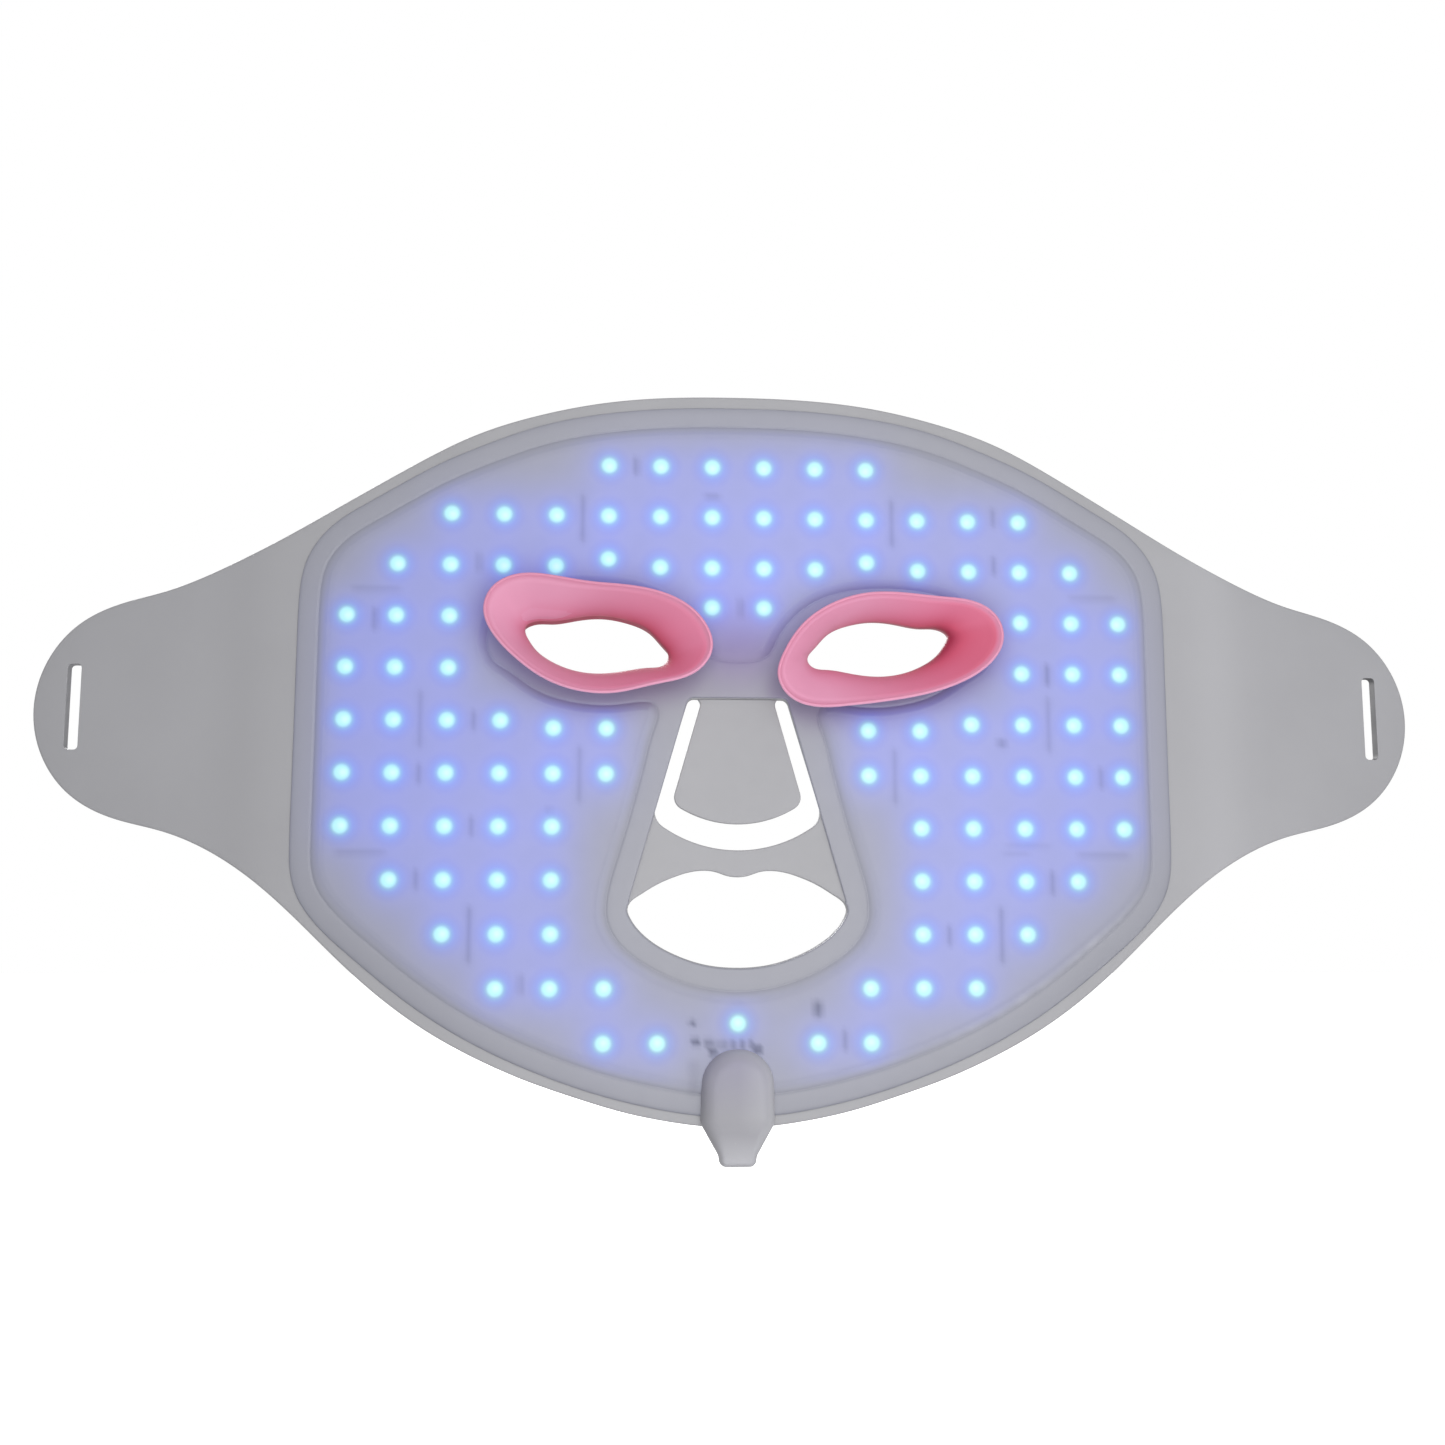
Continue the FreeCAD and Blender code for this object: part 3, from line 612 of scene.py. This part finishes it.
parts = {
    "seal": small_part("seal_silicone", (0.5, 0.5, 0.53), 0.5, 0, 200, 0.05),
    "film": small_part("white_film", (0.8, 0.8, 0.82), 0.4, 0, 150, 0.03),
    "circuit": small_part("circuit_film", (0.6, 0.6, 0.7), 0.45, 0, 400, 0.06),
    "board": small_part("board_laminate", (0.34, 0.29, 0.13), 0.5, 0, 2500, 0.15),
    "body": small_part("led_body", (0.82, 0.82, 0.79), 0.35),
    "window": small_part("led_light", (0.5, 0.85, 1.0), 0.2, 0, 900, 0.05),
    "ceramic": small_part("resistor_ceramic", (0.04, 0.04, 0.05), 0.4),
    "tin": small_part("tin_solder", (0.62, 0.62, 0.61), 0.35, 0.9, 1200),
    "epoxy": small_part("black_epoxy", (0.02, 0.02, 0.025), 0.35),
    "capacitor": small_part("capacitor_ceramic", (0.38, 0.26, 0.16), 0.5),
    "wire": small_part("wire_insulation", (0.05, 0.05, 0.06), 0.4),
    "socket": small_part("socket_plastic", (0.07, 0.07, 0.08), 0.45),
    "nickel": small_part("nickel_plate", (0.66, 0.65, 0.62), 0.25, 1.0, 1500, 0.04),
    "gold": small_part("gold_plate", (0.78, 0.56, 0.22), 0.28, 1.0, 1500, 0.04)}
parts["window"].set(Emission_Color=(0.35, 0.8, 1.0, 1), Emission_Strength=1.5)
LOOKS = {"outer_seal": "seal", "inner_seal": "seal", "reflector_film": "film",
         "flex_circuit": "circuit", "chin_stiffener": "board", "series_resistors": "ceramic",
         "resistor_end_caps": "tin", "protection_diode": "epoxy",
         "filter_capacitors": "capacitor", "thermistor": "epoxy", "solder_pads": "tin",
         "lead_wires": "wire", "socket_housing": "socket", "socket_sleeve": "nickel",
         "socket_contacts": "gold"}
for zone in ("forehead", "left_cheek", "right_cheek", "chin"):
    LOOKS[zone + "_leds"] = "body"
    LOOKS[zone + "_led_windows"] = "window"


def wear(thing, material):
    """Give a piece one material."""
    thing.data.materials.clear()
    thing.data.materials.append(material)


for node, look in LOOKS.items():
    wear(nodes[node], parts[look].material)


# Sheet: centre and two wings ----------------------------------------------------------------

EYE_BEAD = [(0, 0.35), (0.2, 0.6), (0.5, 0.75), (0.95, 0.8), (1.35, 0.72), (1.65, 0.45),
            (1.85, 0.12), (2.05, 0)]
BACK_GROOVE = [(0.9, 0), (1.15, 0.12), (1.4, 0.38), (1.8, 0.5), (2.2, 0.38), (2.45, 0.12),
               (2.7, 0)]
SLOT_FRAME = [(0, 0.62), (0.3, 0.7), (1.6, 0.7), (1.95, 0.6), (2.15, 0.35), (2.3, 0.1),
              (2.5, 0)]
SEAL_OUT = [(1.95, 0), (2.0, 0.41), (3.4, 0.41), (3.45, 0)]
SEAL_IN = [(1.55, 0), (1.6, 0.41), (2.8, 0.41), (2.85, 0)]
OUTER_R, HOLE_R, SLOT_R = 0.7, 0.45, 0.2


def sheet_outline(points):
    """Distance into the sheet from its outer edge, and from its openings."""
    openings = eye_loops + slot_loops + [mouth_loop, nose_loop, notch_loop]
    return depth_inside(points, sheet_loop), -depth_in_any(points, openings)


def sheet_shape(points):
    """Front and back depths of the sheet."""
    outer, holes = sheet_outline(points)
    cover = depth_inside(points, cover_loop)
    inner = -depth_inside(points, inner_loop)
    eyes = -depth_in_any(points, eye_loops)
    slots = -depth_in_any(points, slot_loops)
    under = np.minimum(cover - POCKET, inner - POCKET_IN)
    front = np.interp(under, (0, 0.1), (0, RECESS))
    front += np.where(inner > 0, profile(cover, SEAL_OUT), 0)
    front += np.where(cover > 0, profile(-inner, SEAL_IN), 0)
    edge = rounded_edge(outer, OUTER_R)
    edge += rounded_edge(holes, np.where(slots < holes + 0.001, SLOT_R, HOLE_R))
    front += edge
    back = SHEET - edge
    back += profile(eyes, EYE_BEAD) + profile(slots, SLOT_FRAME)
    back -= profile(cover, BACK_GROOVE)
    return front, back


def make_sheet():
    """Centre sheet and the two wings, as three pieces of one surface."""
    loops = edge_lines(sheet_loop, OUTER_R, -1)
    for loop in (mouth_loop, nose_loop):
        loops += edge_lines(loop, HOLE_R)
    for loop in eye_loops:
        loops += lines_at(loop, EYE_BEAD)
    for loop in slot_loops:
        loops += edge_lines(loop, SLOT_R) + lines_at(loop, SLOT_FRAME[1:])
    loops += lines_at(cover_loop, BACK_GROOVE + SEAL_OUT + [(POCKET, 0), (POCKET + 0.1, 0)], -1)
    loops += lines_at(inner_loop, SEAL_IN, -1)
    loops += lines_at(inner_loop, [(POCKET_IN, 0), (POCKET_IN + 0.1, 0)])
    loops.append(notch_loop)
    splits = [np.array([(side * SPLIT_X, z) for z in np.arange(-75, 35.1, FOLD_PITCH)])
              for side in (-1, 1)]
    wide = thinned(grid(-184, 184, -128, 68, 6), loops + splits, 3)
    folds = [grid(min(a, b), max(a, b), -76, 34, FOLD_PITCH)
             for a, b in ((SPLIT_X + FOLD_PITCH, FOLD_END), (-SPLIT_X - FOLD_PITCH, -FOLD_END))]
    folds = thinned(np.concatenate(folds), loops + splits, 0.9)
    wide = wide[(np.abs(wide[:, 0]) < SPLIT_X - 2) | (np.abs(wide[:, 0]) > FOLD_END + 2)]
    points, triangles = triangulated(
        loops, splits, np.concatenate([wide, folds]),
        lambda p: np.min(sheet_outline(p), axis=0) > 0)
    front, back = sheet_shape(points)
    middle = points[triangles].mean(axis=1)[:, 0]
    groups = {"silicone_sheet": np.abs(middle) < SPLIT_X, "left_wing_sheet": middle < -SPLIT_X,
              "right_wing_sheet": middle > SPLIT_X}
    made = {}
    for name, mask in groups.items():
        made[name], used, _ = plate_object(name, points, triangles[mask], front, back)
        x = points[used, 0]
        slots = -depth_in_any(points[used], slot_loops)
        # Painted highlight and painted shade along the wings' folds, and painted shade on the
        # strap slot walls
        store(made[name], pale=both_faces(0.5 * np.exp(-((x - 131) / 8) ** 2)),
              dusk=both_faces(0.5 * np.exp(-((x + 131) / 8) ** 2)),
              wall=both_faces(np.where(slots < 0.02, 0.45 + 0.3 * np.sign(x), 0)))
        wear(made[name], grey.material)
    return made


sheet = make_sheet()
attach(sheet["silicone_sheet"], "mask")
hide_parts("back_shell")
for side, name in ((-1, "left_wing"), (1, "right_wing")):
    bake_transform(sheet[name + "_sheet"])
    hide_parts(name)


def make_flap():
    """Nose flap hanging from the crease."""
    radius = 0.35
    loops = edge_lines(flap_loop, radius, -1)
    fill = thinned(grid(-18, 18, -56, -15.5, 1.6), loops, 0.9)
    points, triangles = triangulated(loops, [], fill,
                                     lambda p: depth_inside(p, flap_loop) > 0)
    drop = rounded_edge(depth_inside(points, flap_loop), radius)
    return plate_object("nose_flap_sheet", points, triangles, drop, SHEET - drop)[0]


flap = make_flap()
wear(flap, grey.material)
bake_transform(flap)
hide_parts("nose_flap")


# Frosted cover over the LEDs ----------------------------------------------------------------

def led_places():
    """Centres of all the LEDs."""
    places = [CHIN_LED]
    for row, columns in enumerate(LED_ROWS):
        for column in columns:
            x = min(column * PITCH / 2, END_COLUMN)
            z = ROW_ONE - row * PITCH + LED_SHIFT.get((row, column), 0)
            places += [(x, z), (-x, z)]
    return np.array(places, float)


# Drop of the bonded border toward its outer edge
BORDER_DROP = [(0, 0.62), (0.12, 0.5), (0.35, 0.38), (0.8, 0.26), (1.5, 0.15), (2.5, 0.07),
               (3.8, 0.02), (4.6, 0)]
# From the border line inward: groove, slope and the soft brow
RISE = [(-0.7, 0), (-0.4, -0.03), (-0.2, -0.15), (0, -0.22), (0.2, -0.13), (0.45, 0.03),
        (0.9, 0.2), (1.4, 0.38), (1.9, 0.55), (2.3, 0.65), (2.6, 0.68), (2.9, 0.655),
        (3.3, 0.68), (3.8, 0.7)]
WINDOW_R = 0.5


def cover_outline(points):
    """Distance into the cover from its outer edge, and from its openings."""
    openings = [window_loop, moved(mouth_loop, MOUTH_GAP), notch_loop] + eye_loops
    return depth_inside(points, cover_loop), -depth_in_any(points, openings)


def soft_box(points, x, z, half_x, half_z):
    """Blurred rectangle, 1 in its middle."""
    blur = 2 * MARK_BLUR
    across = np.clip((half_x + MARK_BLUR - np.abs(points[:, 0] - x)) / blur, 0, 1)
    along = np.clip((half_z + MARK_BLUR - np.abs(points[:, 1] - z)) / blur, 0, 1)
    top = min(1, (half_x + MARK_BLUR) / blur) * min(1, (half_z + MARK_BLUR) / blur)
    return eased(across) * eased(along) / top ** 2


def make_cover():
    """Frosted cover, with its light stored on the mesh."""
    mouth = moved(mouth_loop, MOUTH_GAP)
    loops = lines_at(cover_loop, BORDER_DROP, -1)
    loops += [moved(cover_loop, -BORDER - place) for place, _ in RISE]
    loops += [moved(cover_loop, -POCKET - 0.8), moved(cover_loop, -POCKET - 0.9)]
    loops += [moved(inner_loop, place) for place, _ in RISE]
    for loop in [window_loop, mouth] + eye_loops:
        loops += edge_lines(loop, WINDOW_R)
    loops.append(notch_loop)
    pitch = PITCH / 12
    fill = thinned(grid(-7.5 * PITCH - pitch * 3, 7.5 * PITCH + pitch * 3, -121.7 + 2 * pitch, 60,
                        pitch), loops, 0.6)
    points, triangles = triangulated(loops, [], fill,
                                     lambda p: np.min(cover_outline(p), axis=0) > 0)
    outer, holes = cover_outline(points)
    inner = -depth_inside(points, inner_loop)
    step = np.minimum(outer - BORDER, inner)
    front = -FLANGE - profile(step, RISE) + profile(outer, BORDER_DROP)
    front += rounded_edge(holes, WINDOW_R)
    under = np.minimum(outer - POCKET - 0.8, inner - POCKET_IN - 0.5)
    back = np.interp(under, (0, 0.1), (0, -COVER_ROOM))
    made, used, flat = plate_object("frosted_cover", points, triangles, front, back)
    mesh = made.data

    leds = led_places()
    flat_points = points[used]
    reach = np.linalg.norm(flat_points[:, None, :] - leds[None, :, :], axis=2)
    glow = np.exp(-reach / 5.0).sum(axis=1)
    shade = np.zeros(len(used))
    for x, z, half_x, half_z, tone in MARKS:
        shade = np.maximum(shade, tone * soft_box(flat_points, x, z, half_x, half_z))
    # Painted shade in the lines and grooves of the border, deeper toward the chin and on the right
    edge = outer[used]
    low = np.clip((-flat_points[:, 1] - 50) / 35, 0, 1)
    right = np.clip(flat_points[:, 0] / 60, 0, 1)
    by_opening = inner[used] < edge - BORDER
    line = np.where(by_opening, 0.06, 0.10)
    width = np.where(by_opening, 0.9, 0.6)
    rise = step[used]
    shade += line * np.exp(-(rise / width) ** 2)
    shade += (0.045 + 0.03 * low) * np.exp(-((rise - SLOPE) / 0.7) ** 2)
    shade += 0.12 * low * np.clip(1 - edge / BORDER, 0, 1) ** 0.8
    shade += (0.05 + 0.05 * right + 0.08 * low) * np.exp(-(edge / 0.6) ** 2)
    # Little light reaches the bonded border
    inward = np.clip((rise + 0.8) / 3.2, 0, 1)
    by_eyes = np.clip((flat_points[:, 1] + 14) / 7, 0, 1) * (inner[used] < edge - 8)
    least = 0.3 - 0.18 * low + 0.5 * by_eyes
    glow *= least + (1 - least) * eased(inward)
    # Painted warm shade and pink bounce light on the bridge of the nose and close to the pads
    blush = 0.75 * np.exp(-(flat_points[:, 0] / 16) ** 2 - ((flat_points[:, 1] + 2) / 11) ** 2)
    rims = [smooth_loop(line, pieces=4) for line in (RIM_RIGHT, mirrored(RIM_LEFT))]
    beside = np.min([np.abs(depth_inside(flat_points, rim)) for rim in rims], axis=0)
    blush = np.maximum(blush, 0.45 * np.exp(-(beside / 4.5) ** 2))
    dark = np.zeros(len(used))
    store(made, glow=np.append(glow, dark), shade=np.append(shade, dark),
          blush=np.append(blush, dark))
    middles = flat_points[flat].mean(axis=1)
    nearest = np.linalg.norm(middles[:, None, :] - leds[None, :, :], axis=2).argmin(axis=1)
    lean = (CORE_AIM - leds) / CORE_REACH * CORE_SHIFT
    for name, shift in (("led_offset", 0), ("led_core", 1)):
        centres = leds[nearest] + shift * lean[nearest]
        corner = flat_points[flat] - centres[:, None, :]
        values = np.full((len(mesh.loops), 3), 40.0)
        values[:flat.size, :2] = corner.reshape(-1, 2)
        values[:flat.size, 2] = 0
        layer = mesh.attributes.new(name, "FLOAT_VECTOR", "CORNER")
        layer.data.foreach_set("vector", values.astype(np.float32).ravel())
    return made


cover = make_cover()
wear(cover, cover_material())
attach(cover, "mask")
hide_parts("inner_cover")


# Eye pads -----------------------------------------------------------------------------------

def ring_surface(name, rings):
    """Closed skin over rings of points; the last ring joins the first."""
    count = len(rings[0])
    verts = [tuple(p) for ring in rings for p in ring]
    faces = []
    total = len(rings)
    for k in range(total):
        a, b = k * count, ((k + 1) % total) * count
        for i in range(count):
            j = (i + 1) % count
            faces.append((a + i, a + j, b + j, b + i))
    mesh = bpy.data.meshes.new(name)
    mesh.from_pydata([(x * MM, y * MM, z * MM) for x, y, z in verts], [], faces)
    mesh.update()
    made = bpy.data.objects.new(name, mesh)
    bpy.context.scene.collection.objects.link(made)
    return made


def eye_pad(name, throat_points, rim_points, lift, fold, shaded, sunk):
    """Soft funnel from the eye opening out to its rolled rim.

    The upper edge of the opening is lifted. The deepest red is a painted shadow at the given (x,
    z). Painted shade deepens the tone across the pad by one share, and along its lower wall by the
    last share.
    """
    throat = smooth_loop(throat_points, pieces=9)
    rim = smooth_loop(rim_points, pieces=9)
    outward = moved(throat, 1) - throat
    upper = np.clip((outward[:, 1] + 1) / 1.4, 0, 1)
    for _ in range(4):
        upper = (np.roll(upper, 1) + 2 * upper + np.roll(upper, -1)) / 4
    opening = throat + np.stack([0 * upper, lift * upper], axis=1)
    middle = throat.mean(axis=0)
    back = SHEET + 0.7
    rings = []
    deep = []
    lip = []

    # Each ring takes a painted shade, deeper down the funnel and round the opening, deepest at the
    # painted shadow spot, and deeper across the pad and along its lower wall
    def ring(start, share, shift, y, tone, pale=0.0):
        loop = moved(start + (rim - start) * share ** 1.45, shift)
        rings.append([(x, y, z) for x, z in loop])
        tones = np.full(len(loop), float(tone))
        if 0 < share < 1:
            apart = np.linalg.norm(loop - fold, axis=1)
            tones += 0.15 * (1 - share) * np.exp(-(apart / 11) ** 2)
            tones += shaded * (loop[:, 0] - middle[0]) / 30
            tones += sunk * (1 - upper) - 0.08 * upper
        deep.extend(np.clip(tones, 0, 1))
        below = np.clip(-(moved(loop, 1) - loop)[:, 1] + 0.2, 0, 1)
        lip.extend(pale * below)

    # Plug through the sheet, from its back edge forward to the seat
    ring(throat, 0, 0.85, back, 0.8)
    ring(throat, 0, 0.75, back - 0.25, 0.85)
    ring(throat, 0, 0.55, 1.2, 0.9)
    ring(opening, 0, 0, SEAT + 0.7, 0.95)
    # Inner wall up to the rim
    shares = [0.02, 0.06, 0.12, 0.2, 0.3, 0.4, 0.5, 0.6, 0.7, 0.79, 0.87, 0.93]
    for share in shares:
        ring(opening, share, -0.9 * share, SEAT - (PAD_DEPTH + SEAT) * share,
             0.16 + 0.62 * (1 - share) ** 2.6)
    # Rolled lip
    # The lower half of the rolled lip carries a painted highlight
    for turn in (0, 30, 60, 90, 120, 150, 180):
        angle = math.radians(turn)
        ring(throat, 1, -0.45 - 0.45 * math.cos(angle),
             -PAD_DEPTH + 0.45 - 0.45 * math.sin(angle), 0.1, 0.4 * max(0, turn - 60) / 120)
    # Outer wall back to the shoulder that rests on the cover
    for share in shares[::-1]:
        ring(throat, share, PAD_WALL * (1 - share),
             SEAT - 0.9 * (1 - share) - (PAD_DEPTH + SEAT) * share * 0.96, 0.25)
    for shift, y in ((1.6, -0.9), (2.1, -0.65), (2.2, -0.35), (2.1, -0.1), (1.9, 0), (0, 0)):
        ring(throat, 0, PAD_WALL + shift, SEAT + y, 0.35)
    ring(throat, 0, PAD_WALL, back - 0.25, 0.5)
    ring(throat, 0, PAD_WALL - 0.25, back, 0.5)
    made = ring_surface(name, rings)
    mesh = made.data
    mesh.flip_normals()
    finish_mesh(mesh, 70)
    store(made, deep=deep, lip=lip)
    wear(made, pink.material)
    return made


# Lift, painted shadow spot and painted shade shares for each pad
for side, throat_points, rim_points, lift, fold, shaded, sunk in (
        ("right", THROAT, RIM_RIGHT, 0.3, (57, 4), 0.52, 0.08),
        ("left", mirrored(THROAT), mirrored(RIM_LEFT), 0.95, (-22, 1), 0.3, 0.1)):
    pad = eye_pad(side + "_eye_cup", throat_points, rim_points, lift, fold, shaded, sunk)
    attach(pad, side + "_eye_pad")
    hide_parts(side + "_eye_pad")


# Boot over the power socket -----------------------------------------------------------------

def boot_front(points, inside):
    """Front depth of the boot: domed edges, a flat face and a taper to its end."""
    z = points[:, 1]
    face = profile(-z, [(107, 5.3), (112, 5.6), (122, 5.6), (127, 5.05), (131, 4.3), (134.5, 3.7),
                        (137, 3.5)])
    for place, height in ((117.4, 0.05), (121.2, -0.07), (124.2, 0.06), (126.6, -0.08)):
        face = face + height * np.exp(-((-z - place) / 0.7) ** 2)
    return JACK_Y - (face + JACK_Y) * dome(points, inside, 4.4)


def boot_back(points, inside):
    """Back depth of the boot."""
    face = profile(-points[:, 1], [(107, 4.9), (122, 4.9), (134, 4.2), (137, 4.0)])
    return JACK_Y + (face - JACK_Y) * dome(points, inside, 3.4)


def dome(points, inside, reach):
    """Share of the full depth at a distance inside the outline, tighter at the end."""
    reach = profile(-points[:, 1], [(107, reach), (126, reach), (134, 1.6), (137, 1.3)])
    share = 1 - np.clip(inside / reach, 0, 1)
    return np.clip(1 - share ** 2.2, 0, 1) ** (1 / 2.2)


def make_boot():
    """Boot with the hollow that holds the socket."""
    outline = rounded_loop(BOOT, 0.8)
    insets = (0, 0.02, 0.07, 0.16, 0.3, 0.5, 0.8, 1.2, 1.7, 2.3, 3.0, 3.7)
    loops = [moved(outline, -inset) for inset in insets]
    fill = thinned(grid(-9, 9, -136, -108, 0.8), loops, 0.45)
    points, triangles = triangulated(loops, [], fill,
                                     lambda p: depth_inside(p, outline) > 0)
    inside = np.maximum(depth_inside(points, outline), 0)
    made, used, _ = plate_object("socket_boot", points, triangles, boot_front(points, inside),
                                 boot_back(points, inside))
    wear(made, milky.material)
    # Painted light: a paler rim on the right and at the end where light comes through, painted LED
    # light on the top, and painted shade on the left
    x, z = points[used].T
    sunny = np.clip(x / 8, -1, 1)
    thin = np.clip(1 - inside[used] / 3.2, 0, 1) ** 0.8 * (0.55 + 0.45 * sunny)
    thin = np.maximum(thin, 0.55 * np.clip((-z - 128) / 7, 0, 1))
    thin = np.maximum(thin, 0.4 * sunny * np.clip((z + 130) / 6, 0, 1))
    dull = 0.05 * np.clip(-sunny, 0, 1) * np.clip((z + 131) / 7, 0, 1)
    cool = np.clip((z + 124) / 14, 0, 1)
    store(made, thin=both_faces(thin), dull=both_faces(dull), cool=both_faces(cool))
    cutters = []
    bpy.ops.mesh.primitive_cylinder_add(vertices=64, radius=BORE_R * MM, depth=BORE_LENGTH * MM,
                                        location=(0, JACK_Y * MM, BORE_Z * MM))
    cutters.append(bpy.context.object)
    bpy.ops.mesh.primitive_cube_add(size=1, location=(0, JACK_Y * MM, HOLLOW_Z * MM))
    hollow = bpy.context.object
    hollow.scale = [length * MM for length in HOLLOW_SIZE]
    cutters.append(hollow)
    for cutter in cutters:
        change = made.modifiers.new("hollow", "BOOLEAN")
        change.object = cutter
        change.operation = "DIFFERENCE"
        change.solver = "EXACT"
        bpy.context.view_layer.objects.active = made
        bpy.ops.object.modifier_apply(modifier=change.name)
        bpy.data.objects.remove(cutter)
    finish_mesh(made.data, 45)
    return made


boot = make_boot()
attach(boot, "mask")
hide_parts("inlet_boot")


# Camera, light and floor --------------------------------------------------------------------

TILT = (-7.37, 3.39, -0.09)     # turns about x, y and the line of sight, in degrees
AIM = (4.1, 21.3)               # where the middle of the mask stands beside the line of sight, mm
DISTANCE = 404.5
FOCAL_SHARE = 1500 / 1445       # focal length as a share of the picture's width

across, upright, roll = (math.radians(a) for a in TILT)
turn = (Matrix.Rotation(roll, 3, "Z") @ Matrix.Rotation(across, 3, "X")
        @ Matrix.Rotation(upright, 3, "Y"))
to_world = Matrix(((1, 0, 0), (0, 0, -1), (0, 1, 0)))
place = to_world @ (turn.transposed() @ Vector((-AIM[0], -AIM[1], DISTANCE)))
camera_data = bpy.data.cameras.new("camera")
camera_data.sensor_width = 36
camera_data.lens = 36 * FOCAL_SHARE
camera_data.clip_start = 0.01
camera = bpy.data.objects.new("camera", camera_data)
camera.matrix_world = Matrix.Translation(place * MM) @ (to_world @ turn.transposed()).to_4x4()
bpy.context.scene.collection.objects.link(camera)
bpy.context.scene.camera = camera


def soft_light(name, place, aim, width, height, power):
    """Rectangular soft light."""
    data = bpy.data.lights.new(name, "AREA")
    data.shape = "RECTANGLE"
    data.size, data.size_y = width, height
    data.energy = power
    made = bpy.data.objects.new(name, data)
    made.location = place
    made.rotation_euler = (Vector(aim) - Vector(place)).to_track_quat("-Z", "Y").to_euler()
    made.visible_camera = False
    bpy.context.scene.collection.objects.link(made)


soft_light("strip", (0.04, -0.27, -0.08), (0.04, 0, -0.08), 0.3, 0.6, 0.95)
soft_light("side", (0.62, -0.55, -0.55), (0, 0, -0.02), 0.45, 0.45, 19.8)
soft_light("back", (-0.35, 0.95, 0.4), (0, 0, 0), 0.4, 0.4, 7.0)

# White to look at, and an even, weaker light on the mask
world = bpy.data.worlds.new("studio")
world.use_nodes = True
sky = world.node_tree
even = sky.nodes["Background"]
even.inputs["Strength"].default_value = 0.61
white = sky.nodes.new("ShaderNodeBackground")
white.inputs["Color"].default_value = (1, 1, 1, 1)
even.inputs["Color"].default_value = (1, 1, 1, 1)
seen = sky.nodes.new("ShaderNodeLightPath")
both = sky.nodes.new("ShaderNodeMixShader")
sky.links.new(seen.outputs["Is Camera Ray"], both.inputs[0])
sky.links.new(even.outputs[0], both.inputs[1])
sky.links.new(white.outputs[0], both.inputs[2])
sky.links.new(both.outputs[0], sky.nodes["World Output"].inputs["Surface"])
bpy.context.scene.world = world
bpy.context.scene.view_settings.view_transform = "Standard"

bpy.ops.mesh.primitive_plane_add(size=6, location=(0, 0, -0.2))
floor = bpy.context.object
floor.name = "floor"
sweep = Nodes("pale_floor")
tone = sweep.mix(sweep.span(sweep.noise(3, 3), 0.3, 0.7, 0, 1), (0.80, 0.80, 0.80),
                 (0.84, 0.84, 0.84))
sweep.colour(tone)
sweep.set(Roughness=0.9, Emission_Color=(1, 1, 1, 1), Emission_Strength=0.8)
floor.visible_diffuse = False
floor.visible_glossy = False
wear(floor, sweep.material)
